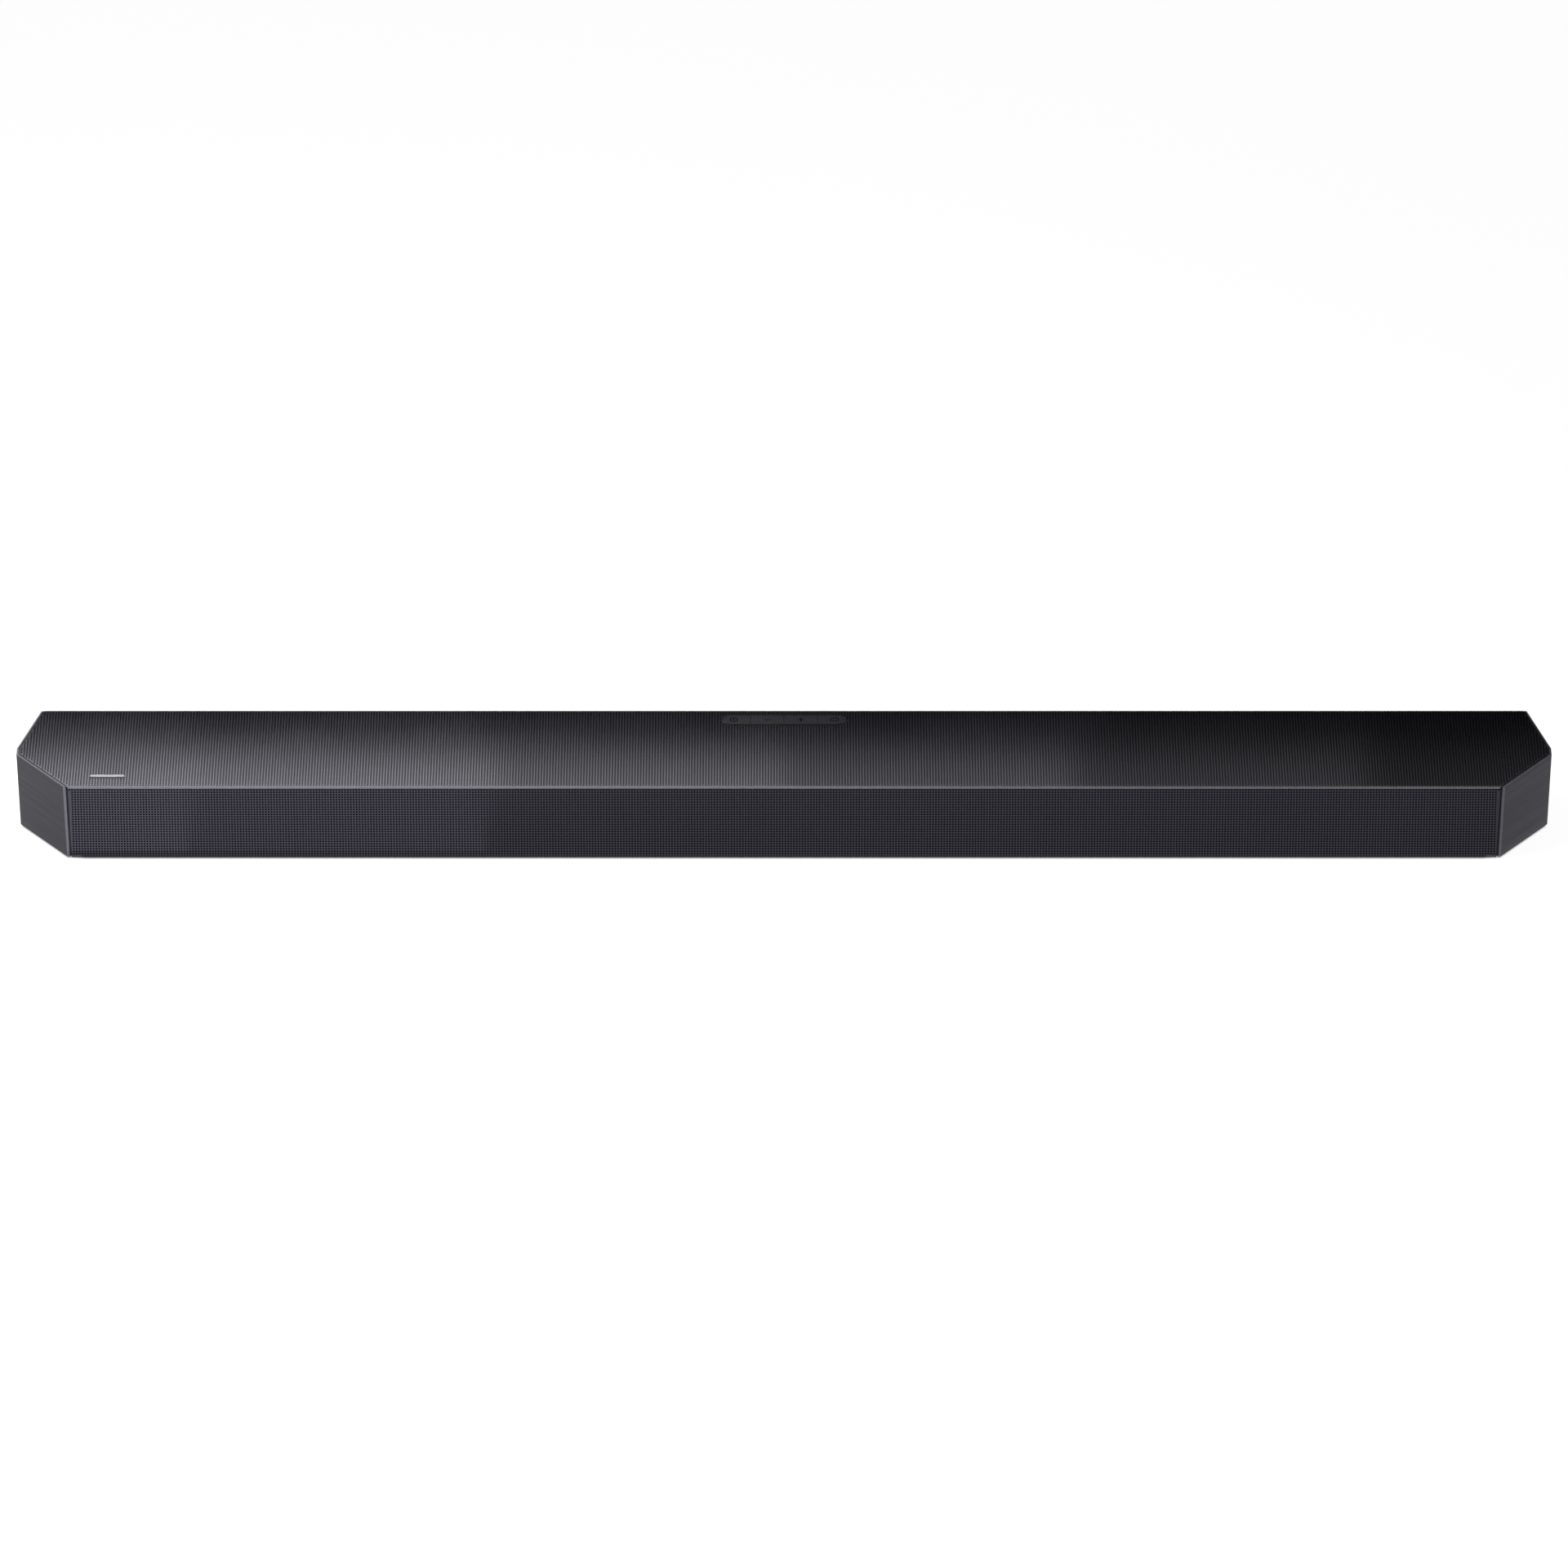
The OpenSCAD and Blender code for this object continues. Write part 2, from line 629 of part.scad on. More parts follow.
module up_baskets() color("#2b2b2e") at_ups() difference() {
    union() {
        translate([0, 0, gasket_t]) cylinder(r = up_r, h = 1.8, $fn = 96);
        translate([0, 0, -basket_deep - 2])
            cylinder(r = up_r - 4.6, h = basket_deep + 2 + gasket_t, $fn = 96);
    }
    translate([0, 0, -basket_deep]) cylinder(r = up_r - 6.4, h = 50, $fn = 96);
    translate([0, 0, -50]) cylinder(r = 13.2, h = 100);
    for (a = up_screw_angles)
        rotate([0, 0, a]) translate([up_r - 2.2, 0, 0]) cylinder(r = 1.3, h = 10);
    for (a = [0, 90, 180, 270]) rotate([0, 0, a]) translate([18, 0, -50]) cylinder(r = 3, h = 50);
}

module up_surrounds() color("#151517") at_ups() translate([0, 0, gasket_t + 0.2]) rotate_extrude($fn = 96)
    polygon([
        [up_cone_r + 0.15, 0], [up_r - 6.6, 0], [up_r - 6.6, 1],
        [up_r - 8, 1.6], [up_cone_r + 1, 1.6], [up_cone_r + 0.15, 1]
    ]);

module up_spiders() color("#c8a46a") at_ups() translate([0, 0, -basket_deep + 0.1]) rotate_extrude()
    polygon([
        [coil_r + 0.15, 0.6], [12, 1.2], [14, 0.2], [16, 0.2], [16, 0.6], [14.2, 0.6],
        [12, 1.6], [coil_r + 0.15, 1]
    ]);

module up_magnets() color("#8d8f94") at_ups() magnet(magnet_r);

module up_cone(side) color("#3c3c40") at_up(side) {
    neck_z = -6.2;
    rotate_extrude($fn = 96) polygon([
        [coil_r - 0.6, neck_z], [coil_r, neck_z], [up_cone_r, gasket_t + 0.6],
        [up_cone_r, gasket_t + 1.2], [coil_r - 0.6, neck_z + 1]
    ]);
    translate([0, 0, neck_z + 1]) rotate_extrude()
        polygon(concat(dome_arc(coil_r - 0.2, 3.6), [for (i = [6:-1:0]) dome_arc(coil_r - 0.9, 3)[i]]));
    coil(neck_z + 0.3);
}

module up_cone_left() up_cone(-1);
module up_cone_right() up_cone(1);

module driver_gaskets() color("#18181a") {
    at_woofers() linear_extrude(gasket_t) difference() {
        stadium_plate();
        stadium(woofer_l - 11, woofer_h - 3);
        for (s = woofer_screw_places) translate(s) circle(r = 1.7);
    }
    at_ups() linear_extrude(gasket_t) difference() {
        circle(r = up_r, $fn = 96);
        circle(r = up_r - 4.3, $fn = 96);
        for (a = up_screw_angles) rotate(a) translate([up_r - 2.2, 0]) circle(r = 1.3);
    }
}

// A pan head screw standing on z = 0, with its shank below and a cross cut in its head
module screw(shank_r, length, head_r, head_h) difference() {
    union() {
        cylinder(r = head_r, h = head_h);
        translate([0, 0, -length]) cylinder(r = shank_r, h = length);
    }
    for (a = [0, 90]) rotate([0, 0, a])
        translate([-head_r * 0.6, -0.3, head_h * 0.45]) cube([head_r * 1.2, 0.6, head_h]);
}

module driver_screws() color("#3f4044") {
    at_woofers() for (s = woofer_screw_places)
        translate([s[0], s[1], gasket_t + flange_t]) screw(1.2, 7, 2.6, 1.4);
    at_tweeters() for (s = [-1, 1]) translate([0, s * tweeter_screw_r, 2]) screw(1, 5.5, 1.9, 1.2);
    at_ups() for (a = up_screw_angles)
        rotate([0, 0, a]) translate([up_r - 2.2, 0, gasket_t + 1.8]) screw(1, 5, 1.9, 1.2);
}

// ---- Electronics ----

module main_board() color("darkgreen") difference() {
    translate([-board_x, board_y0, board_z]) cube([2 * board_x, board_y1 - board_y0, board_t]);
    for (p = board_screw_places) translate([p[0], p[1], 0]) cylinder(r = 1.4, h = 20);
}

module board_block(x, y, w, d, h) translate([x - w / 2, y - d / 2, socket_z]) cube([w, d, h]);

module board_chips() color("#141416") {
    board_block(-74, 2, 14, 14, 1.4);
    board_block(0, 4, 16, 16, 1.2);
    board_block(50, 2, 9, 9, 1);
    board_block(64, 16, 8, 12, 1);
    board_block(34, 12, 10, 4, 2.4);
    for (side = [-1, 1]) board_block(side * 95, 8, 9, 6, 6);
}

module capacitors() color("#26262c") {
    for (i = [0:3]) translate([-48 + i * 11, -4, socket_z]) cylinder(r = 4, h = 14);
    for (y = [-2, 9]) translate([80, y, socket_z]) cylinder(r = 5, h = 17);
}

module heat_sink() color("#b9bcc2") translate([-88, -7, socket_z + 1.4]) {
    cube([28, 18, 2.5]);
    for (i = [0:6]) translate([i * 4.4, 0, 0]) cube([1.6, 18, 20]);
}

module wireless_module() color("#c9c9cc") {
    board_block(22, 1, 16, 12, 0.8);
    translate([15, -3.5, socket_z + 0.8]) cube([14, 9, 1.6]);
}

module hdmi_sockets() color("#b0b2b6") for (x = hdmi_places)
    translate([x - 7.5, bay_face_y - 12.2, socket_z]) difference() {
        cube([15, 12, 6]);
        translate([0.5, 1, 0.6]) difference() {
            cube([14, 20, 4.8]);
            translate([1.5, -1, 1.5]) cube([11, 11, 1.8]);
        }
    }

module usb_socket() color("#b0b2b6") translate([usb_x - 7.2, bay_face_y - 13.2, socket_z]) difference() {
    cube([14.4, 13, 7]);
    translate([0.6, 1, 0.6]) difference() {
        cube([13.2, 20, 5.8]);
        translate([1, -1, 3.3]) cube([11.2, 11.5, 1.8]);
    }
}

module optical_socket() color("#151517") translate([optical_x, bay_face_y - 12.2, socket_z])
    difference() {
        translate([-5, 0, 0]) cube([10, 12, 10]);
        translate([-4.1, 4, 0.9]) cube([8.2, 20, 8.2]);
        translate([0, 1, 5]) rotate([-90, 0, 0]) cylinder(r = 1.15, h = 20);
    }

module power_jack() color("#151517") translate([power_bay_x, bay_face_y - 0.2, socket_z + 5.5]) {
    difference() {
        translate([-4.5, -13, -5.5]) cube([9, 13, 11]);
        rotate([90, 0, 0]) translate([0, 0, -1]) cylinder(r = 3.1, h = 11);
    }
    rotate([90, 0, 0]) translate([0, 0, 1]) cylinder(r = 1.2, h = 9.5);
}

// An eight-sided tube of radius r through a list of points
module wire(points, r) {
    n = len(points);
    sides = 8;
    rings = [for (i = [0:n - 1])
        let (
            ahead = points[min(i + 1, n - 1)] - points[min(i, n - 2)],
            behind = points[max(i, 1)] - points[max(i - 1, 0)],
            along = ahead / norm(ahead) + behind / norm(behind),
            across = cross(along, [1, 1, 1]) / norm(cross(along, [1, 1, 1])),
            up = cross(along, across) / norm(along)
        )
        for (k = [0:sides - 1])
            points[i] + r * (cos(k * 360 / sides) * across + sin(k * 360 / sides) * up)
    ];
    polyhedron(rings, concat(
        [[for (k = [0:sides - 1]) k]],
        [for (i = [0:n - 2], k = [0:sides - 1]) [
            i * sides + k, (i + 1) * sides + k,
            (i + 1) * sides + (k + 1) % sides, i * sides + (k + 1) % sides
        ]],
        [[for (k = [sides - 1:-1:0]) (n - 1) * sides + k]]
    ));
}

// Leads from the board's plug on one side to that side's drivers, three of them through the divider
module speaker_wires() color("#a03028") for (side = [-1, 1]) scale([side, 1, 1]) {
    wire_r = 0.9;
    plug_z = socket_z + 6.2;
    lanes = [[-1.3, -0.8], [1.3, -0.8], [0, 1.5]];
    wire([[92, 8, plug_z], [93, 4, wire_pass_z], [100, -15, 34], [100, baffle_y + 12.4, 38]], wire_r);
    for (i = [0:1]) {
        x = woofer_places[4 + i] + 20;
        y = wire_pass_y + lanes[i][0];
        z = wire_pass_z + lanes[i][1];
        wire([
            [94.2 + i * 2.2, 8, plug_z], [96 + i * 2.2, y, plug_z + 8], [125, y, z],
            [x - 6, y, z], [x, y - 6, z], [x, -20, wire_pass_z + 4], [x, baffle_y + 12.4, 38]
        ], wire_r);
    }
    y = wire_pass_y + lanes[2][0];
    z = wire_pass_z + lanes[2][1];
    wire([
        [98.6, 8, plug_z], [100.4, y, plug_z + 8], [125, y, z], [396, y, z],
        [up_place[0] - up_r + 1, y + 4, up_seat_z - 8]
    ], wire_r);
}

// ---- Status lamps and remote receiver, on the baffle beside the right channel ----

module status_board() color("darkgreen") translate([status_x, baffle_y, status_z]) rotate([90, 0, 0]) {
    difference() {
        translate([-21, -5, 0]) cube([42, 10, 1.2]);
        for (s = [-17, 17]) translate([s, 0, -1]) cylinder(r = 1.3, h = 5);
    }
    for (i = [-2:1:2]) translate([i * 4 - 1, -1, 1.2]) cube([2, 2, 1]);
    translate([11, 0, 1.2]) cylinder(r = 2.4, h = 2);
}

// ---- Fasteners, feet and bracket inserts ----

module case_screws() color("#3f4044") {
    at_both(case_screw_places) translate([0, 0, base_z + 0.8]) mirror([0, 0, 1]) screw(1.2, 10, 2.8, 0.8);
    for (side = [-1, 1], x = rear_screw_places)
        translate([side * x, y_back - 1.35, rear_screw_z]) rotate([-90, 0, 0]) screw(1.2, 9, 2.8, 1.3);
    for (side = [-1, 1], p = cap_screw_places)
        translate([side * (chassis_x - 2.6), p[0], p[1]]) rotate([0, -90 * side, 0])
            screw(1.2, 11, 2.8, 1.6);
}

module board_screws() color("#3f4044") {
    for (p = board_screw_places) translate([p[0], p[1], board_z + board_t]) screw(1, 5.5, 2.1, 1.2);
    for (s = status_screw_places)
        translate([s, baffle_y - 1.2, status_z]) rotate([90, 0, 0]) screw(1, 4, 1.9, 1.1);
    for (s = [-1, 1])
        translate([s * key_screw_x, pad_y, key_board_z]) mirror([0, 0, 1]) screw(1, 5.6, 2, 1.2);
}

module rubber_feet() color("#111112") at_both(foot_places) {
    linear_extrude(base_z + 0.7) stadium(36, 14);
}

module bracket_inserts() color("#b5903c") for (side = [-1, 1])
    translate([side * bracket_span / 2, 20, base_z]) difference() {
        cylinder(r = 3, h = 8);
        translate([0, 0, -1]) cylinder(d = insert_bore, h = 20);
    }

module rating_label() color("#c7c8cb") translate([130, -38, base_z - 0.2]) cube([60, 24, 0.2]);

grille();
acoustic_cloth();
chassis();
rear_cover();
signal_tray();
power_tray();
bottom_cover();
end_cap_left();
end_cap_right();
badge();
control_bezel();
power_key();
volume_down_key();
volume_up_key();
source_key();
key_board();
tact_switches();
ribbon_cable();
woofer_baskets();
woofer_surrounds();
woofer_spiders();
woofer_magnets();
cone_left_outer();
cone_left_inner();
cone_centre_left();
cone_centre_right();
cone_right_inner();
cone_right_outer();
tweeter_bodies();
tweeter_domes();
up_baskets();
up_surrounds();
up_spiders();
up_magnets();
up_cone_left();
up_cone_right();
driver_gaskets();
driver_screws();
main_board();
board_chips();
capacitors();
heat_sink();
wireless_module();
hdmi_sockets();
optical_socket();
usb_socket();
power_jack();
speaker_wires();
status_board();
case_screws();
board_screws();
rubber_feet();
bracket_inserts();
rating_label();
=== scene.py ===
"""Looks of the soundbar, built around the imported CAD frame: a bent perforated steel grille over black cloth,
drafted end caps with level hairlines, the key pad with its symbols, and the rear, base and inner pieces."""
import json
import math

import bmesh
import bpy
import numpy as np
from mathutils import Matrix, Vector


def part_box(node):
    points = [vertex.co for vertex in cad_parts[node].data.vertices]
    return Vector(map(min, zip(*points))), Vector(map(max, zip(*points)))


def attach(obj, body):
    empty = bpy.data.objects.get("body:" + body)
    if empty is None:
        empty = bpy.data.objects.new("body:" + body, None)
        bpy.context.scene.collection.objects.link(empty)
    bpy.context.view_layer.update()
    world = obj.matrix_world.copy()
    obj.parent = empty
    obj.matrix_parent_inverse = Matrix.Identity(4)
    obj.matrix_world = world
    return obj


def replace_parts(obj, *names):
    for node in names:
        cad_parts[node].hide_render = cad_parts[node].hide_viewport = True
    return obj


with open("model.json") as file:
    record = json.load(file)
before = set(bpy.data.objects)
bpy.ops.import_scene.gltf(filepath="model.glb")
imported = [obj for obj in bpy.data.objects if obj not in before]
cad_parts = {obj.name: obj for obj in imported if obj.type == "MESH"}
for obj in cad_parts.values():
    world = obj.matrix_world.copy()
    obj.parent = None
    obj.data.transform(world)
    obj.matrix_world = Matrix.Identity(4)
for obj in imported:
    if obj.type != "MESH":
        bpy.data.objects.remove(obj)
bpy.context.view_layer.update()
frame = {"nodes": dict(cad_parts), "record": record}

MM = 0.001
BAR = "bar"
NEAR = 0.05 * MM             # corners this close to a height or a face lie on it
ON_SIDE = 0.1 * MM           # corners of a plan this close to one of its sides lie on it
SAME = 0.002 * MM            # points this close are one point


# ---- Reading the frame ----

def cad_points(node):
    """A CAD node's corners at rest, in the row frame."""
    mesh = frame["nodes"][node].data
    flat = np.empty(3 * len(mesh.vertices))
    mesh.vertices.foreach_get("co", flat)
    return flat.reshape(-1, 3)


def hull_2d(points):
    """Anticlockwise convex hull of 2-D points, without the ones that lie along an edge."""
    points = sorted({(round(float(x), 6), round(float(y), 6)) for x, y in points})

    def half(ordered):
        chain = []
        for p in ordered:
            while len(chain) >= 2:
                (ax, ay), (bx, by) = chain[-2], chain[-1]
                if (bx - ax) * (p[1] - ay) - (by - ay) * (p[0] - ax) > 1e-9:
                    break
                chain.pop()
            chain.append(p)
        return chain[:-1]

    return np.array(half(points) + half(points[::-1]))


def plan_at(node, z):
    """The plan outline that a CAD node has at height z, from its own corners there."""
    found = cad_points(node)
    return hull_2d(found[np.abs(found[:, 2] - z) < NEAR, :2])


grille_low, grille_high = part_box("grille")
cap_low, cap_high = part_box("end_cap_right")
bezel_low, bezel_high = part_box("control_bezel")
top_z = grille_high.z
base_z = grille_low.z
front_y = grille_low.y
grille_plan = plan_at("grille", top_z)
grille_corner_x = max(p[0] for p in grille_plan if p[1] < front_y + ON_SIDE)
grille_base_x = max(p[0] for p in cad_points("grille") if abs(p[2] - base_z) < NEAR)
LEAN = (grille_corner_x - grille_base_x) / (top_z - base_z)


# ---- Materials ----

def new_material(name, colour, roughness, metallic=0.0):
    """A Principled material with its constants on the shader's own sockets."""
    material = bpy.data.materials.new(name)
    material.use_nodes = True
    shader = material.node_tree.nodes["Principled BSDF"]
    shader.inputs["Base Color"].default_value = (*colour, 1)
    shader.inputs["Roughness"].default_value = roughness
    shader.inputs["Metallic"].default_value = metallic
    return material, shader


def add_node(material, kind, **values):
    """A shader node with its own settings and socket values, a socket's spaces written as underscores."""
    node = material.node_tree.nodes.new(kind)
    for key, value in values.items():
        if hasattr(node, key):
            setattr(node, key, value)
        else:
            node.inputs[key.replace("_", " ")].default_value = value
    return node


def link(material, out, into):
    """Joins an output socket to an input socket."""
    material.node_tree.links.new(out, into)


def object_coordinates(material, scale):
    """Object coordinates in metres, times a scale along each axis."""
    where = add_node(material, "ShaderNodeTexCoord")
    mapping = add_node(material, "ShaderNodeMapping")
    mapping.inputs["Scale"].default_value = scale
    link(material, where.outputs["Object"], mapping.inputs["Vector"])
    return mapping.outputs["Vector"]


def noise(material, scale, size, detail=3.0):
    """Noise of a cell size in mm, stretched by scale along each axis."""
    node = add_node(material, "ShaderNodeTexNoise", Scale=1.0 / (size * MM), Detail=detail)
    link(material, object_coordinates(material, scale), node.inputs["Vector"])
    return node.outputs["Fac"]


def vary(material, value, socket, low, high):
    """Drives a socket from low to high by a value between 0 and 1."""
    spread = add_node(material, "ShaderNodeMapRange")
    spread.inputs["From Min"].default_value = 0.3
    spread.inputs["From Max"].default_value = 0.7
    spread.inputs["To Min"].default_value = low
    spread.inputs["To Max"].default_value = high
    link(material, value, spread.inputs["Value"])
    link(material, spread.outputs["Result"], socket)


def tint(material, value, shader, dark, light):
    """Drives the base colour between two colours by a value between 0 and 1."""
    ramp = add_node(material, "ShaderNodeValToRGB")
    ramp.color_ramp.elements[0].position = 0.3
    ramp.color_ramp.elements[0].color = (*dark, 1)
    ramp.color_ramp.elements[1].position = 0.7
    ramp.color_ramp.elements[1].color = (*light, 1)
    link(material, value, ramp.inputs["Fac"])
    link(material, ramp.outputs["Color"], shader.inputs["Base Color"])


def bump(material, value, shader, depth):
    """A bump of a depth in mm."""
    node = add_node(material, "ShaderNodeBump", Strength=1.0, Distance=depth * MM)
    link(material, value, node.inputs["Height"])
    link(material, node.outputs["Normal"], shader.inputs["Normal"])


VIOLET = (0.78, 0.76, 1.0, 1)            # the cool cast of the dark parts' sheen


def shades(colour, dark, light):
    """A darker and a lighter shade of a colour, as factors of it."""
    return [tuple(factor * c for c in colour) for factor in (dark, light)]


def grille_paint(name, dark, light, shine=0.48):
    """Dark charcoal satin powder coat on pressed steel, between two shades of grey."""
    material, shader = new_material(name, dark, 0.25)
    shader.inputs["Specular Tint"].default_value = VIOLET
    shader.inputs["Specular IOR Level"].default_value = shine
    grain = noise(material, (1, 1, 1), 0.35)
    cloud = noise(material, (1, 1, 1), 60.0)
    tint(material, cloud, shader, dark, light)
    vary(material, cloud, shader.inputs["Roughness"], 0.23, 0.26)
    bump(material, grain, shader, 0.004)
    return material


def cap_plastic(name, dark, light):
    """Moulded plastic with fine hairlines that run level along the cap, between two shades."""
    material, shader = new_material(name, dark, 0.4)
    shader.inputs["Specular Tint"].default_value = VIOLET
    shader.inputs["Specular IOR Level"].default_value = 0.26
    lines = noise(material, (0.012, 0.012, 1.0), 0.55, 4.0)
    broad = noise(material, (0.02, 0.02, 1.0), 3.5)
    tint(material, lines, shader, dark, light)
    vary(material, broad, shader.inputs["Roughness"], 0.34, 0.46)
    bump(material, lines, shader, 0.05)
    return material


def spark_plastic(name, colour, roughness, shine=0.5, grain_depth=0.02):
    """Moulded plastic with a spark-eroded grain."""
    material, shader = new_material(name, colour, roughness)
    shader.inputs["Specular IOR Level"].default_value = shine
    grain = noise(material, (1, 1, 1), 0.6)
    cloud = noise(material, (1, 1, 1), 30.0)
    tint(material, cloud, shader, *shades(colour, 0.88, 1.12))
    vary(material, grain, shader.inputs["Roughness"], roughness - 0.04, roughness + 0.04)
    bump(material, grain, shader, grain_depth)
    return material


def metal(name, colour, roughness):
    """Bare or plated metal with faint drawn lines."""
    material, shader = new_material(name, colour, roughness, 1.0)
    lines = noise(material, (0.05, 1, 1), 0.4)
    tint(material, lines, shader, *shades(colour, 0.9, 1))
    vary(material, lines, shader.inputs["Roughness"], roughness * 0.85, roughness * 1.2)
    return material


def cloth_fabric(name, colour, pitch):
    """A plain weave of threads a pitch apart, in mm."""
    material, shader = new_material(name, colour, 0.95)
    shader.inputs["Sheen Weight"].default_value = 0.15
    across = [noise(material, s, pitch * 1.5, 1.0) for s in ((1, 0.05, 0.05), (0.05, 1, 1))]
    both = add_node(material, "ShaderNodeMath", operation="MAXIMUM")
    link(material, across[0], both.inputs[0])
    link(material, across[1], both.inputs[1])
    tint(material, both.outputs["Value"], shader, *shades(colour, 0.6, 1.3))
    bump(material, both.outputs["Value"], shader, 0.1)
    return material


def soft_rubber(name, colour, roughness):
    """Rubber, foam or coated paper with a soft uneven skin."""
    material, shader = new_material(name, colour, roughness)
    cloud = noise(material, (1, 1, 1), 2.0)
    tint(material, cloud, shader, *shades(colour, 0.8, 1.2))
    vary(material, cloud, shader.inputs["Roughness"], roughness - 0.08, roughness + 0.08)
    bump(material, cloud, shader, 0.05)
    return material


MATERIALS = {
    "grille_paint": grille_paint("grille_paint", (0.0088, 0.0086, 0.0118), (0.0108, 0.0106, 0.0138)),
    # painted highlight: the fold's lighter paint stands in for the light that the bent edge catches
    "grille_fold_highlight": grille_paint("grille_fold_highlight", (0.265, 0.26, 0.285), (0.295, 0.29, 0.315), 1.0),
    "cap_plastic": cap_plastic("cap_plastic", (0.008, 0.0075, 0.0105), (0.020, 0.019, 0.027)),
    # painted highlights: the lighter rim and lip paints stand in for the light on the cap's rounded edges
    "cap_rim_highlight": cap_plastic("cap_rim_highlight", (0.24, 0.235, 0.255), (0.28, 0.275, 0.295)),
    "cap_lip_highlight": cap_plastic("cap_lip_highlight", (0.11, 0.107, 0.119), (0.14, 0.137, 0.15)),
    "cover_plastic": spark_plastic("cover_plastic", (0.014, 0.014, 0.016), 0.5),
    "chassis_plastic": spark_plastic("chassis_plastic", (0.02, 0.02, 0.022), 0.55),
    "acoustic_cloth": cloth_fabric("acoustic_cloth", (0.006, 0.006, 0.007), 0.3),
    "badge_metal": metal("badge_metal", (0.27, 0.27, 0.285), 0.45),
    "control_plastic": spark_plastic("control_plastic", (0.014, 0.0135, 0.020), 0.3, 0.28, 0.001),
    "circuit_board": spark_plastic("circuit_board", (0.015, 0.09, 0.04), 0.4),
    "chip_plastic": spark_plastic("chip_plastic", (0.015, 0.015, 0.015), 0.6),
    "shield_metal": metal("shield_metal", (0.6, 0.6, 0.62), 0.3),
    "ribbon_film": spark_plastic("ribbon_film", (0.75, 0.75, 0.74), 0.4),
    "basket_plastic": spark_plastic("basket_plastic", (0.03, 0.03, 0.032), 0.5),
    "surround_rubber": soft_rubber("surround_rubber", (0.015, 0.015, 0.016), 0.55),
    "spider_cloth": cloth_fabric("spider_cloth", (0.45, 0.3, 0.12), 0.5),
    "magnet_steel": metal("magnet_steel", (0.45, 0.46, 0.48), 0.4),
    "cone_paper": soft_rubber("cone_paper", (0.05, 0.05, 0.053), 0.85),
    "dome_silk": cloth_fabric("dome_silk", (0.01, 0.01, 0.011), 0.2),
    "gasket_foam": soft_rubber("gasket_foam", (0.02, 0.02, 0.02), 0.9),
    "screw_steel": metal("screw_steel", (0.08, 0.08, 0.085), 0.35),
    "capacitor_can": soft_rubber("capacitor_can", (0.02, 0.02, 0.05), 0.35),
    "heat_sink_aluminium": metal("heat_sink_aluminium", (0.7, 0.71, 0.73), 0.35),
    "socket_plastic": spark_plastic("socket_plastic", (0.015, 0.015, 0.016), 0.4),
    "wire_cover": soft_rubber("wire_cover", (0.3, 0.03, 0.02), 0.45),
    "foot_rubber": soft_rubber("foot_rubber", (0.012, 0.012, 0.012), 0.8),
    "insert_brass": metal("insert_brass", (0.6, 0.42, 0.14), 0.3),
    "label_film": spark_plastic("label_film", (0.5, 0.5, 0.52), 0.45),
    "symbol_ink": spark_plastic("symbol_ink", (0.003, 0.003, 0.003), 0.8, 0.03),
}


# ---- Making pieces ----

def fast_mesh(name, verts, corners, sizes):
    """A mesh from flat arrays: the vertices, every face's corners one after another, and each face's size."""
    mesh = bpy.data.meshes.new(name)
    sizes = np.asarray(sizes, np.int32)
    mesh.vertices.add(len(verts))
    mesh.vertices.foreach_set("co", np.asarray(verts, np.float32).ravel())
    mesh.loops.add(len(corners))
    mesh.loops.foreach_set("vertex_index", np.asarray(corners, np.int32))
    mesh.polygons.add(len(sizes))
    mesh.polygons.foreach_set("loop_start", np.concatenate([[0], np.cumsum(sizes)[:-1]]).astype(np.int32))
    mesh.update(calc_edges=True)
    mesh.validate()
    return mesh


def dress(mesh, name, slot, body=BAR):
    """A piece of its own from a mesh, riding on a body, with its slot's material."""
    piece = bpy.data.objects.new(name, mesh)
    bpy.context.scene.collection.objects.link(piece)
    mesh.materials.clear()
    mesh.materials.append(MATERIALS[slot])
    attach(piece, body)
    return piece


class Shell:
    """Collects faces by their corner points, and joins equal points into one closed mesh."""

    def __init__(self):
        self.verts, self.faces = [], []

    def face(self, points):
        """One face from its corner points."""
        start = len(self.verts)
        self.verts += [tuple(map(float, p)) for p in points]
        self.faces.append(tuple(range(start, start + len(points))))

    def strips(self, rings, closed=False):
        """Quads between neighbouring rings of equally many points."""
        for low, high in zip(rings, rings[1:]):
            n = len(low)
            for k in range(n if closed else n - 1):
                m = (k + 1) % n
                self.face([low[k], low[m], high[m], high[k]])

    def mesh(self, name, mirror=False, smooth=None):
        """smooth is the angle, in degrees, under which neighbouring faces shade as one surface."""
        mesh = bpy.data.meshes.new(name)
        mesh.from_pydata(self.verts, [], self.faces)
        shell = bmesh.new()
        shell.from_mesh(mesh)
        bmesh.ops.remove_doubles(shell, verts=shell.verts, dist=SAME)
        if mirror:
            for v in shell.verts:
                v.co.x = -v.co.x
        bmesh.ops.recalc_face_normals(shell, faces=shell.faces)
        shell.to_mesh(mesh)
        shell.free()
        if smooth is not None:
            mesh.shade_smooth()
            mesh.set_sharp_from_angle(angle=math.radians(smooth))
        return mesh


def arc(centre, radius, start, end, steps):
    """Points on an arc between two angles, in degrees; radius may be a pair, for an ellipse."""
    rx, ry = radius if isinstance(radius, tuple) else (radius, radius)
    return [(centre[0] + rx * math.cos(math.radians(a)), centre[1] + ry * math.sin(math.radians(a)))
            for a in np.linspace(start, end, steps + 1)]


def moved_in(loop, d):
    """A closed anticlockwise outline moved inward by d, with its corners mitred."""
    along = np.roll(loop, -1, axis=0) - loop
    along /= np.linalg.norm(along, axis=1)[:, None]
    normal = np.stack([-along[:, 1], along[:, 0]], -1)
    mitre = normal + np.roll(normal, 1, axis=0)
    mitre /= np.linalg.norm(mitre, axis=1)[:, None]
    return loop + mitre * (d / np.sum(mitre * normal, axis=1))[:, None]


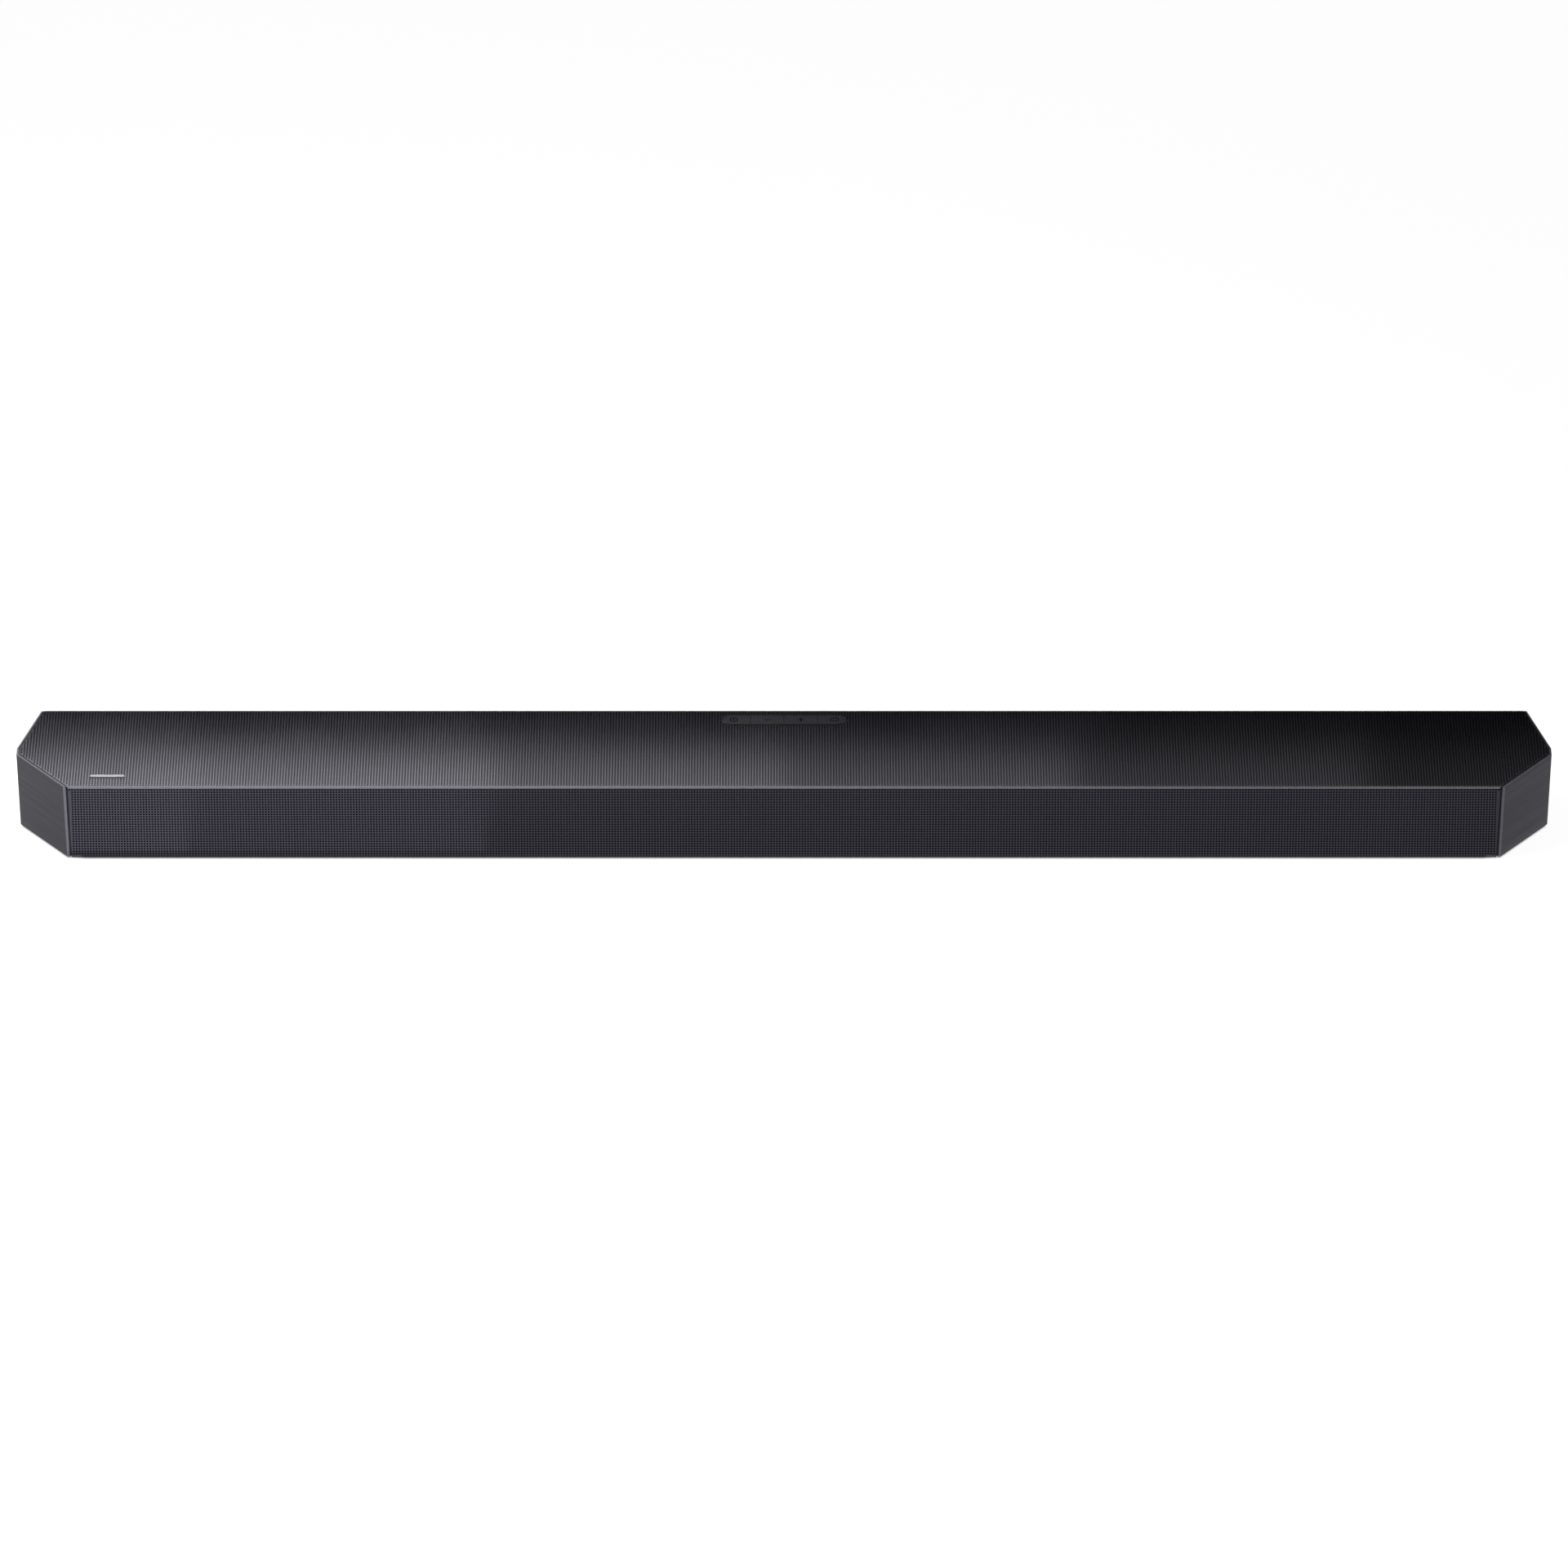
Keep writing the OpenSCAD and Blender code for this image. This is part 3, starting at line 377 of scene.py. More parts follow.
def at_height(loop, z):
    """A plan outline as 3-D points at one height."""
    return [(x, y, z) for x, y in loop]


def add_prism(shell, loop, low, high, top=0.0):
    """A closed upright prism of a plan outline, with its top edge rounded by a radius."""
    loop = np.asarray(loop, float)
    section = [(0, low)]
    if top:
        section += [(top - x, high - top + y) for x, y in arc((0, 0), top, 0, 90, 5)]
        section.append((top + 0.1 * MM, high))
    else:
        section.append((0, high))
    rings = [at_height(moved_in(loop, d), z) for d, z in section]
    shell.strips(rings, closed=True)
    shell.face(rings[0][::-1])
    shell.face(rings[-1])


def stadium(centre, length, width, steps=24):
    """The anticlockwise outline of a round-ended bar that lies along X."""
    reach = (length - width) / 2
    return np.array(arc((centre[0] + reach, centre[1]), width / 2, -90, 90, steps)
                    + arc((centre[0] - reach, centre[1]), width / 2, 90, 270, steps))


# ---- Perforated grille and the cloth behind it ----

PITCH = 1.9 * MM
HOLE = 1.16 * MM
SHEET = 0.8 * MM
FOLD_R = 1.2 * MM
FOLD_STEPS = 8
FOLD_EDGE = 0.1 * MM         # from the fold to the first row of cells
SOLID_EDGE = 0.25 * MM       # the least metal between a hole and the sheet's edge
GRILLE_TILES = 6
BENT = 0.05                  # a face of the fold leans from both plates at least this much
FAR = 1e9
PAD_FLANGE = 4.5 * MM
PAD_GAP = 0.4 * MM           # between the pad's frame and the grille, both sides together
CLOTH_PAD_GAP = 7 * MM
PAD_L = bezel_high.x - bezel_low.x - PAD_FLANGE
PAD_W = bezel_high.y - bezel_low.y - PAD_FLANGE
PAD_Y = (bezel_low.y + bezel_high.y) / 2
CLOTH_T = 0.3 * MM
CLOTH_FOLD_R = 1.0 * MM
CLOTH_CELL = 4 * MM


def polygon_depth(points, polygon, open_y):
    """How far each 2-D point lies inside a convex anticlockwise polygon that has no edge in front of open_y."""
    depth = np.full(points.shape[:-1], FAR)
    for a, b in zip(polygon, np.roll(polygon, -1, axis=0)):
        if max(a[1], b[1]) < open_y:
            continue
        along = (b - a) / np.linalg.norm(b - a)
        depth = np.minimum(depth, (points - a) @ np.array([-along[1], along[0]]))
    return depth


def pill_clearance(points, centre_y, length, width):
    """How far each 2-D point lies outside a round-ended bar; negative inside."""
    x = np.maximum(np.abs(points[..., 0]) - (length - width) / 2, 0)
    return np.hypot(x, points[..., 1] - centre_y) - width / 2


class BentSheet:
    """A sheet folded once, from the front plate over to the top plate. A place on it is (x, s): s is the way
    along the sheet, nil where the front plate meets the fold, and drop is the depth below its outer face."""

    def __init__(self, face_y, face_z, low_z, back_y, fold_r, fold_steps):
        self.face_y, self.face_z, self.fold_r = face_y, face_z, fold_r
        self.fold_s = fold_r * math.pi / 2
        self.low_s = low_z - (face_z - fold_r)
        self.high_s = self.fold_s + back_y - (face_y + fold_r)
        self.fold_lines = np.linspace(0, self.fold_s, fold_steps + 1)

    def yz(self, s, drop=0.0):
        """The Y and Z of places along the sheet, drop below its outer face."""
        s = np.asarray(s, float)
        turn = np.clip(s / self.fold_r, 0, math.pi / 2)
        r = self.fold_r - drop
        y = self.face_y + self.fold_r - r * np.cos(turn) + np.maximum(s - self.fold_s, 0)
        z = self.face_z - self.fold_r + r * np.sin(turn) + np.minimum(s, 0)
        return y, z

    def depth(self, where, plan, hole):
        """How far each place lies inside the plan, which leans in below, and outside the pad's hole."""
        y, z = self.yz(where[..., 1])
        flat = np.stack([np.abs(where[..., 0]) + LEAN * (self.face_z - z), y], -1)
        return np.minimum.reduce([
            polygon_depth(flat, plan, self.face_y + ON_SIDE),
            where[..., 1] - self.low_s,
            np.where(where[..., 1] > self.fold_s, pill_clearance(flat, *hole), FAR),
        ])

    def back_corners(self, plan):
        """The places of a plan's corners on the top plate."""
        return [np.array([x, self.fold_s + y - self.face_y - self.fold_r]) for x, y in plan
                if y > self.face_y + self.fold_r]

    def rows(self, pitch):
        """Lines along the sheet: whole pitches away from the fold on both sides, and the fold's own steps."""
        below = np.arange(math.ceil(-self.low_s / pitch) + 2)[::-1]
        beyond = np.arange(math.ceil((self.high_s - self.fold_s) / pitch) + 2)
        return np.concatenate([-FOLD_EDGE - pitch * below, self.fold_lines,
                               self.fold_s + FOLD_EDGE + pitch * beyond])


PLACE_STEP = 1e-8             # places on a sheet are told apart in steps of this


def place_key(place):
    """The same key for every copy of one place."""
    return round(place[0] / PLACE_STEP), round(place[1] / PLACE_STEP)


def crossing(depth_of, a, depth_a, b, depth_b):
    """The place between a, inside, and b, outside, where the depth is nil."""
    for _ in range(3):
        middle = a + (b - a) * depth_a / (depth_a - depth_b)
        depth = float(depth_of(middle))
        if abs(depth) < 1e-7:
            return middle
        if depth > 0:
            a, depth_a = middle, depth
        else:
            b, depth_b = middle, depth
    return middle


def cut_cell(square, depths, depth_of, corners):
    """The outline of what lies inside of a grid cell that the sheet's edge crosses."""
    loop = []
    for k in range(4):
        n = (k + 1) % 4
        if depths[k] > 0:
            loop.append(square[k])
        if (depths[k] > 0) == (depths[n] > 0):
            continue
        inside, outside = (k, n) if depths[k] > 0 else (n, k)
        loop.append(crossing(depth_of, square[inside], depths[inside], square[outside], depths[outside]))
        if depths[k] > 0:
            loop += [c for c in corners if (square[0] < c).all() and (c < square[2]).all()]
    return [p for k, p in enumerate(loop) if np.abs(p - loop[k - 1]).max() > PLACE_STEP]


def between(outer, ring):
    """Triangles, as corner places, between an outline and the ring of a hole inside it, both anticlockwise."""
    centre = np.mean(ring, axis=0)

    def turned(loop):
        ahead = sorted((math.atan2(p[1] - centre[1], p[0] - centre[0]), tuple(p)) for p in loop)
        return ahead + [(ahead[0][0] + 2 * math.pi, ahead[0][1])]

    outer, ring = turned(outer), turned(ring)
    faces, i, j = [], 0, 0
    while i < len(outer) - 1 or j < len(ring) - 1:
        if j == len(ring) - 1 or (i < len(outer) - 1 and outer[i + 1][0] < ring[j + 1][0]):
            faces.append((outer[i][1], outer[i + 1][1], ring[j][1]))
            i += 1
        else:
            faces.append((outer[i][1], ring[j + 1][1], ring[j][1]))
            j += 1
    return faces


def make_sheet(name, sheet, thickness, columns, rows, depth_of, corners, hole=None):
    """A closed mesh of a sheet cut to where depth_of is positive, with a square hole in each whole cell."""
    grid = np.stack(np.meshgrid(columns, rows, indexing="ij"), -1)
    depth = depth_of(grid)
    cell = np.stack([depth[:-1, :-1], depth[1:, :-1], depth[1:, 1:], depth[:-1, 1:]], -1)
    whole = cell.min(-1) > 0
    part = (cell.max(-1) > 0) & ~whole
    deep = np.diff(rows)[None, :]
    ring = (hole or 0) / 2 * np.array([(-1, -1), (1, -1), (1, 1), (-1, 1)])
    middle = (grid[:-1, :-1] + grid[1:, 1:]) / 2
    clear = (depth_of(middle[:, :, None] + ring).min(-1) > SOLID_EDGE) & (deep > 0.99 * PITCH) & bool(hole)
    holed = whole & clear
    across = len(rows)

    def cell_corners(mask):
        first = np.argwhere(mask) @ (across, 1)
        return first[:, None] + (0, across, across + 1, 1)

    verts = [grid.reshape(-1, 2)]
    count = grid.shape[0] * grid.shape[1]
    quads = [cell_corners(whole & ~holed)]
    if hole:
        outer = cell_corners(holed)
        verts.append((middle[holed][:, None] + ring).reshape(-1, 2))
        inner = count + np.arange(outer.size).reshape(-1, 4)
        count += outer.size
        for k in range(4):
            n = (k + 1) % 4
            quads.append(np.stack([outer[:, k], outer[:, n], inner[:, n], inner[:, k]], -1))
    extra, index, cut = [], {}, []

    def index_of(place):
        key = place_key(place)
        if key not in index:
            index[key] = count + len(extra)
            extra.append(place)
        return index[key]

    for i, j in np.argwhere(part):
        for a, b in ((i, j), (i + 1, j), (i + 1, j + 1), (i, j + 1)):
            index.setdefault(place_key(grid[a, b]), a * across + b)
        square = [grid[i, j], grid[i + 1, j], grid[i + 1, j + 1], grid[i, j + 1]]
        loop = cut_cell(square, cell[i, j], depth_of, corners)
        if clear[i, j]:
            cut += [[index_of(p) for p in face] for face in between(loop, middle[i, j] + ring)]
        elif len(loop) >= 3:
            cut.append([index_of(p) for p in loop])
    verts = np.concatenate(verts + ([np.array(extra)] if extra else []))
    count = len(verts)
    quads = np.concatenate(quads)
    outline = np.concatenate([
        np.stack([quads.ravel(), np.roll(quads, -1, axis=1).ravel()], -1),
        np.array([(a, b) for loop in cut for a, b in zip(loop, loop[1:] + loop[:1])]).reshape(-1, 2),
    ])
    key, back = outline[:, 0] * count + outline[:, 1], outline[:, 1] * count + outline[:, 0]
    edge = outline[~np.isin(key, back)]
    walls = np.stack([edge[:, 1], edge[:, 0], edge[:, 0] + count, edge[:, 1] + count], -1)
    y, z = sheet.yz(verts[:, 1])
    under_y, under_z = sheet.yz(verts[:, 1], thickness)
    both = np.concatenate([np.stack([verts[:, 0], y, z], -1), np.stack([verts[:, 0], under_y, under_z], -1)])
    fours = np.concatenate([quads, quads[:, ::-1] + count, walls])
    many = cut + [[v + count for v in reversed(loop)] for loop in cut]
    corners_flat = np.concatenate([fours.ravel()] + [np.array(loop) for loop in many])
    sizes = np.concatenate([np.full(len(fours), 4), [len(loop) for loop in many]])
    used, corners_flat = np.unique(corners_flat, return_inverse=True)
    return fast_mesh(name, both[used], corners_flat.ravel(), sizes)


def make_grille():
    """The bent perforated sheet, in tiles side by side, with a painted highlight along the fold: lighter paint
    on the fold's faces.
    """
    sheet = BentSheet(front_y, top_z, base_z, grille_high.y, FOLD_R, FOLD_STEPS)
    hole = (PAD_Y, PAD_L + PAD_GAP, PAD_W + PAD_GAP)

    def depth_of(where):
        return sheet.depth(where, grille_plan, hole)

    corners = sheet.back_corners(grille_plan)
    corners += [np.array([side * grille_base_x, sheet.low_s]) for side in (-1, 1)]
    count = 2 * math.ceil(grille_high.x / PITCH)
    columns = PITCH * (np.arange(count + 1) - count / 2)
    for t in range(GRILLE_TILES):
        tile = columns[count * t // GRILLE_TILES: count * (t + 1) // GRILLE_TILES + 1]
        mesh = make_sheet(f"grille_{t + 1}", sheet, SHEET, tile, sheet.rows(PITCH), depth_of, corners, HOLE)
        mesh.shade_smooth()
        mesh.set_sharp_from_angle(angle=math.radians(30))
        normals = np.empty(3 * len(mesh.polygons))
        mesh.polygons.foreach_get("normal", normals)
        # the fold's faces take the lighter paint, a painted highlight
        bent = np.abs(normals.reshape(-1, 3)[:, 1:]).min(axis=1) > BENT
        piece = dress(mesh, mesh.name, "grille_paint")
        mesh.materials.append(MATERIALS["grille_fold_highlight"])
        mesh.polygons.foreach_set("material_index", bent.astype(np.int32))
        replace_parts(piece, "grille")


def make_cloth():
    """Acoustic cloth stretched over the chassis, just behind the grille."""
    low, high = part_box("acoustic_cloth")
    plan = plan_at("acoustic_cloth", high.z)
    sheet = BentSheet(low.y, high.z, low.z, high.y, CLOTH_FOLD_R, 3)

    def depth_of(where):
        return sheet.depth(where, plan, (PAD_Y, PAD_L + CLOTH_PAD_GAP, PAD_W + CLOTH_PAD_GAP))

    count = math.ceil((high.x - low.x) / CLOTH_CELL) + 2
    columns = CLOTH_CELL * (np.arange(count + 1) - count / 2)
    mesh = make_sheet("cloth_sheet", sheet, CLOTH_T, columns, sheet.rows(CLOTH_CELL), depth_of,
                      sheet.back_corners(plan))
    mesh.shade_smooth()
    mesh.set_sharp_from_angle(angle=math.radians(40))
    cloth = dress(mesh, "cloth_sheet", "acoustic_cloth")
    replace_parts(cloth, "acoustic_cloth")


make_grille()
make_cloth()


# ---- End caps ----

BULGE_DROP = 4.5 * MM        # the cap's back grows to its full depth this far below the top
EDGE_R = np.array([2.4, 2.4, 2.4, 0.9]) * MM
RIM_R = 0.7 * MM
RIM_INNER_R = 0.15 * MM
FOOT_R = 0.5 * MM
RIM_W = 1.4 * MM
WALL = 2.2 * MM
PLATE_GAP = 0.9 * MM
LEDGE_W = 3.5 * MM
SHELF_DROP = 1.3 * MM
GROOVE = 2.0 * MM
GROOVE_REACH = 1.5 * MM
CORNER_STEPS = 10
COVER_GAP = 0.3 * MM
SEAT_GAP = 0.2 * MM
PLATE_T = 2 * MM
PLATE_INSET = 0.03 * MM      # this and the next keep the cap's faces out of one another's planes
LIP_INSET = 0.02 * MM
LEAST_STRIP = 0.05 * MM
LEAST_R = 0.02 * MM
BACK_DRAW = 0.78             # how far the back strip's corner draws in for each mm of wall
RIM_FACING = 0.2             # how much of its normal a face of the rim has upward
LIP_FACING = 0.65            # and a face of the lip forward


def cap_corners():
    """The right cap's outer corners at its top, from the lip beside the grille round to the rear cover."""
    plan = plan_at("end_cap_right", top_z)
    front = plan[plan[:, 1] < front_y + ON_SIDE]
    side = plan[plan[:, 0] > cap_high.x - ON_SIDE]
    back = plan[plan[:, 1] > plan[:, 1].max() - ON_SIDE]
    cover_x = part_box("rear_cover")[1].x + COVER_GAP
    return np.array([front[front[:, 0].argmin()], front[front[:, 0].argmax()],
                     side[side[:, 1].argmin()], side[side[:, 1].argmax()],
                     back[back[:, 0].argmax()], (cover_x, back[:, 1].max())])


def rounded_line(line, radii):
    """An open line whose corners all turn left, each rounded with the same count of points."""
    out = [line[0]]
    for a, p, b, radius in zip(line, line[1:], line[2:], radii):
        u, v = (a - p) / np.linalg.norm(a - p), (b - p) / np.linalg.norm(b - p)
        turn = math.pi - math.acos(float(u @ v))
        centre = p + (u + v) / np.linalg.norm(u + v) * radius / math.cos(turn / 2)
        start = p + u * radius * math.tan(turn / 2) - centre
        for t in np.linspace(0, turn, CORNER_STEPS + 1):
            c, s = math.cos(t), math.sin(t)
            out.append(centre + np.array([c * start[0] - s * start[1], s * start[0] + c * start[1]]))
    return np.array(out + [line[-1]])


def cap_ring(corners, z, d):
    """The cap's outline at height z moved in by d, as an open line with rounded corners."""
    line = corners.copy()
    swell = min((top_z - z) / BULGE_DROP, 1) * (cap_high.y - corners[4, 1])
    line[4] += (line[4] - line[3]) * swell / (line[4, 1] - line[3, 1])
    line[5, 1] += swell
    line[:5, 0] -= LEAN * (top_z - z)
    along = np.diff(line, axis=0)
    along /= np.linalg.norm(along, axis=1)[:, None]
    depth = np.full(5, d)
    depth[3:] = min(d, (line[4, 0] - line[5, 0] - LEAST_STRIP) / BACK_DRAW)
    moved = line[:-1] + depth[:, None] * np.stack([-along[:, 1], along[:, 0]], -1)
    inner = [line[0] + (0, d)]
    for k in range(1, 5):
        a, b = along[k - 1], along[k]
        reach = np.linalg.solve(np.stack([a, -b], -1), moved[k] - moved[k - 1])
        inner.append(moved[k - 1] + reach[0] * a)
    inner.append(line[5] - (0, depth[4]))
    radii = np.maximum(EDGE_R - d, LEAST_R)
    inner[0][0] = min(inner[0][0], inner[1][0] - radii[0] * 0.5)
    return at_height(rounded_line(np.array(inner), radii), z)


def make_cap(name, mirror):
    """A hollow end cap: a wall with a rim and a ledge, a floor and a shelf, and the lip's back wall."""
    corners = cap_corners()
    shelf = top_z - SHELF_DROP
    section = [(x, z) for x, z in arc((FOOT_R, base_z + FOOT_R), FOOT_R, 270, 180, 4)]
    section += [(0, z) for z in np.linspace(base_z + FOOT_R, top_z - BULGE_DROP, 6)[1:]]
    section += arc((RIM_R, top_z - RIM_R), RIM_R, 180, 90, 6)
    section += arc((RIM_W - RIM_INNER_R, top_z - RIM_INNER_R), RIM_INNER_R, 90, 0, 2)
    section += [(RIM_W, top_z - PLATE_GAP), (LEDGE_W, top_z - PLATE_GAP), (LEDGE_W, shelf - WALL),
                (WALL, shelf - WALL), (WALL, base_z)]
    rings = [cap_ring(corners, z, d) for d, z in section]
    shell = Shell()
    shell.strips(rings + rings[:1])
    shell.face([ring[0] for ring in rings])
    shell.face([ring[-1] for ring in rings][::-1])
    seat_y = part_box("rear_cover")[0].y - SEAT_GAP
    for low, high in ((base_z + PLATE_INSET, base_z + PLATE_T), (shelf - WALL, shelf - PLATE_INSET)):
        edge = [p[:2] for p in cap_ring(corners, low, GROOVE)]
        seat = [(edge[-1][0], seat_y), (cap_low.x, seat_y), (cap_low.x, edge[0][1])]
        add_prism(shell, seat[2:] + edge + seat[:2], low, high)
    reach = [cap_ring(corners, z, 0)[0][0] + GROOVE_REACH for z in (base_z, shelf)]
    front, back = front_y + GROOVE, front_y + GROOVE + WALL
    low, high = [[(cap_low.x, front, z), (x, front, z), (x, back, z), (cap_low.x, back, z)]
                 for x, z in zip(reach, (base_z + LIP_INSET, shelf - LIP_INSET))]
    shell.strips([low, high], closed=True)
    shell.face(low[::-1])
    shell.face(high)
    mesh = shell.mesh(name + "_shell", mirror, 30)
    cap = dress(mesh, mesh.name, "cap_plastic")
    # the rim's and the lip's faces take lighter paints, painted highlights on the cap's edges
    mesh.materials.append(MATERIALS["cap_rim_highlight"])
    mesh.materials.append(MATERIALS["cap_lip_highlight"])
    for face in mesh.polygons:
        rim = face.center.z > top_z - RIM_R and face.normal.z > RIM_FACING
        lip = face.center.y < front_y + EDGE_R[0] / 2 and face.normal.y < -LIP_FACING
        face.material_index = 1 if rim else 2 if lip else 0
    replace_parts(cap, name)


make_cap("end_cap_right", False)
make_cap("end_cap_left", True)


# ---- Control pad, its symbols and the badge ----

PAD_RIM = 1.2 * MM
PAD_EDGE_R = 0.8 * MM
PAD_INNER_R = 0.12 * MM
FLANGE_DROP = 1.2 * MM       # from the grille's face down to the flange
STEP_H = 1.8 * MM            # from the frame's base up to the step inside it
SYMBOL_X = {"power_key": -33.9, "volume_down_key": -11.3, "volume_up_key": 11.3, "source_key": 33.9}
SYMBOL_SINK = 0.01 * MM
SYMBOL_T = 0.03 * MM
STROKE = 0.8 * MM
SYMBOL_R = 2.8 * MM
POWER_LINE = (0.5 * MM, 2.4 * MM)      # its centre's place behind the ring's, and its length
SOURCE_SHAPE = (1.15, 0.85)            # the ring's radii, as parts of SYMBOL_R
CROSS_SHAPE = 0.85
BADGE_EDGE = 0.28 * MM
BADGE_GAP = 0.02 * MM        # between the bar and the grille's face
PIN_X = 8 * MM
PIN_R = 0.5 * MM
PIN_REACH = 0.1 * MM         # how far the pins come out of the grille into the bar


def make_bezel():
    """The pad's frame: a rounded rim over the grille, and a flange under it."""
    base, high = bezel_low.z, bezel_high.z
    flange = top_z - FLANGE_DROP
    r = PAD_W / 2
    section = arc((r - PAD_EDGE_R, high - PAD_EDGE_R), PAD_EDGE_R, 90, 0, 7)
    section += [(r, flange), (r + PAD_FLANGE / 2, flange), (r + PAD_FLANGE / 2, base),
                (r, base), (r, base + STEP_H), (r - PAD_RIM, base + STEP_H)]
    section += arc((r - PAD_RIM + PAD_INNER_R, high - PAD_INNER_R), PAD_INNER_R, 180, 90, 3)
    shell = Shell()
    rings = [at_height(stadium((0, PAD_Y), PAD_L - PAD_W + 2 * x, 2 * x, 40), z) for x, z in section]
    shell.strips(rings + rings[:1], closed=True)
    bezel = dress(shell.mesh("pad_frame", smooth=35), "pad_frame", "control_plastic")
    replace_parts(bezel, "control_bezel")


def add_ring(shell, outer, inner, low, high):
    """A flat ring between two outlines of equally many points."""
    rings = [at_height(outer, low), at_height(outer, high), at_height(inner, high), at_height(inner, low)]
    shell.strips(rings + rings[:1], closed=True)


def add_rounded_ring(shell, x, wide, deep, low, high):
    """A ring one stroke wide, round a place on the pad's middle line."""
    rings = [arc((x, PAD_Y), (wide - d, deep - d), 90, 450, 48)[:-1] for d in (0, STROKE)]
    add_ring(shell, *rings, low, high)


def bar_outline(x, y, length, width):
    """A rectangle's corners, round its centre."""
    return [(x - length / 2, y - width / 2), (x + length / 2, y - width / 2),
            (x + length / 2, y + width / 2), (x - length / 2, y + width / 2)]


def make_symbols():
    """Thin printed signs on the keys: a ring with a line, a minus, a plus and a flat ring."""
    for key, x in SYMBOL_X.items():
        x *= MM
        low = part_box(key)[1].z - SYMBOL_SINK
        high = low + SYMBOL_T
        shell = Shell()
        if key == "power_key":
            add_rounded_ring(shell, x, SYMBOL_R, SYMBOL_R, low, high)
            add_prism(shell, bar_outline(x, PAD_Y + POWER_LINE[0], STROKE, POWER_LINE[1]), low, high)
        elif key == "source_key":
            add_rounded_ring(shell, x, SYMBOL_R * SOURCE_SHAPE[0], SYMBOL_R * SOURCE_SHAPE[1], low, high)
        else:
            a, b = SYMBOL_R * CROSS_SHAPE, STROKE / 2
            sign = [(a, -b), (a, b), (-a, b), (-a, -b)]
            if key == "volume_up_key":
                sign = [*sign[:2], (b, b), (b, a), (-b, a), (-b, b),
                        *sign[2:], (-b, -b), (-b, -a), (b, -a), (b, -b)]
            add_prism(shell, [(x + u, PAD_Y + v) for u, v in sign], low, high)
        name = key.replace("_key", "_symbol")
        dress(shell.mesh(name), name, "symbol_ink", body=key)


def make_badge():
    """A blank metal bar, held by two pins through the grille."""
    low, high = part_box("badge")
    x, y = (low.x + high.x) / 2, (low.y + high.y) / 2
    shell = Shell()
    outline = stadium((x, y), high.x - low.x, high.y - low.y)
    add_prism(shell, outline, top_z + BADGE_GAP, high.z, top=BADGE_EDGE)
    for pin_x in (x - PIN_X, x + PIN_X):
        add_prism(shell, arc((pin_x, y), PIN_R, 0, 345, 23), low.z, top_z + PIN_REACH)
    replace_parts(dress(shell.mesh("badge_bar", smooth=35), "badge_bar", "badge_metal"), "badge")


make_bezel()
make_symbols()
make_badge()


# ---- CAD nodes that keep their shape ----

EDGE_WIDTHS = {
    "rear_cover": 0.35, "signal_tray": 0.3, "power_tray": 0.3, "rubber_feet": 0.5,
    "optical_socket": 0.2, "power_jack": 0.2,
    "power_key": 0.15, "volume_down_key": 0.15, "volume_up_key": 0.15, "source_key": 0.15,
}


def ease_edges(node, width, merge_flats=True):
    """Rounds a CAD node's sharp edges by a width in mm; a face with many holes keeps its triangles."""
    weld = node.modifiers.new("weld", "WELD")
    weld.merge_threshold = SAME
    if merge_flats:
        flat = node.modifiers.new("flat", "DECIMATE")
        flat.decimate_type = "DISSOLVE"
        flat.angle_limit = math.radians(1)
    bevel = node.modifiers.new("bevel", "BEVEL")
    bevel.width = width * MM
    bevel.segments = 3
    bevel.limit_method = "ANGLE"
    bevel.angle_limit = math.radians(40)
    bevel.miter_outer = "MITER_ARC"
    bevel.use_clamp_overlap = True
    bevel.harden_normals = True
    node.modifiers.new("shading", "WEIGHTED_NORMAL").keep_sharp = True


for entry in frame["record"]["subparts"]:
    node = frame["nodes"][entry["node"]]
    node.data.materials.clear()
    node.data.materials.append(MATERIALS[entry["material_slot"]])
for name, width in EDGE_WIDTHS.items():
    ease_edges(frame["nodes"][name], width)
ease_edges(frame["nodes"]["bottom_cover"], 0.35, merge_flats=False)


# ---- Stage ----

FLOOR_SIZE = 60
FLOOR_GLOW = 0.95
CONTACT = 4 * MM             # the painted soft shadow's reach where the bar stands on the floor
CEILING = 0.02               # the studio's brightness overhead; it is 1 at eye level
STRIP = (5.0, 4.4, 3.0, 1.9, 0.95, 0.4)      # radiances from left to right, behind the bar
APRON = (1.15, 1.0, 0.5)                     # and on the floor in front of its left half
LAMP_STEP = 0.2
CAMERA_LENS = 307.1
CAMERA_ELEVATION = 30
CAMERA_DISTANCE = 9.0
CAMERA_AIM_Z = 0.028


def make_floor():
    """A floor that glows nearly white, so that only the painted shadow under the bar shows on it."""
    mesh = bpy.data.meshes.new("floor")
    h = FLOOR_SIZE / 2
    mesh.from_pydata([(-h, -h, 0), (h, -h, 0), (h, h, 0), (-h, h, 0)], [], [(0, 1, 2, 3)])
    floor = bpy.data.objects.new("floor", mesh)
    bpy.context.scene.collection.objects.link(floor)
    material, shader = new_material("floor", (0.8, 0.8, 0.8), 0.9)
    shader.inputs["Specular IOR Level"].default_value = 0.0
    shader.inputs["Emission Strength"].default_value = FLOOR_GLOW
    # painted shadow: ambient occlusion dims the floor's glow where the bar stands close above it
    painted_shadow = add_node(material, "ShaderNodeAmbientOcclusion", Distance=CONTACT)
    ramp = add_node(material, "ShaderNodeValToRGB")
    ramp.color_ramp.elements[0].position = 0.1
    ramp.color_ramp.elements[1].position = 0.5
    link(material, painted_shadow.outputs["AO"], ramp.inputs["Fac"])
    link(material, ramp.outputs["Color"], shader.inputs["Emission Color"])
    mesh.materials.append(material)


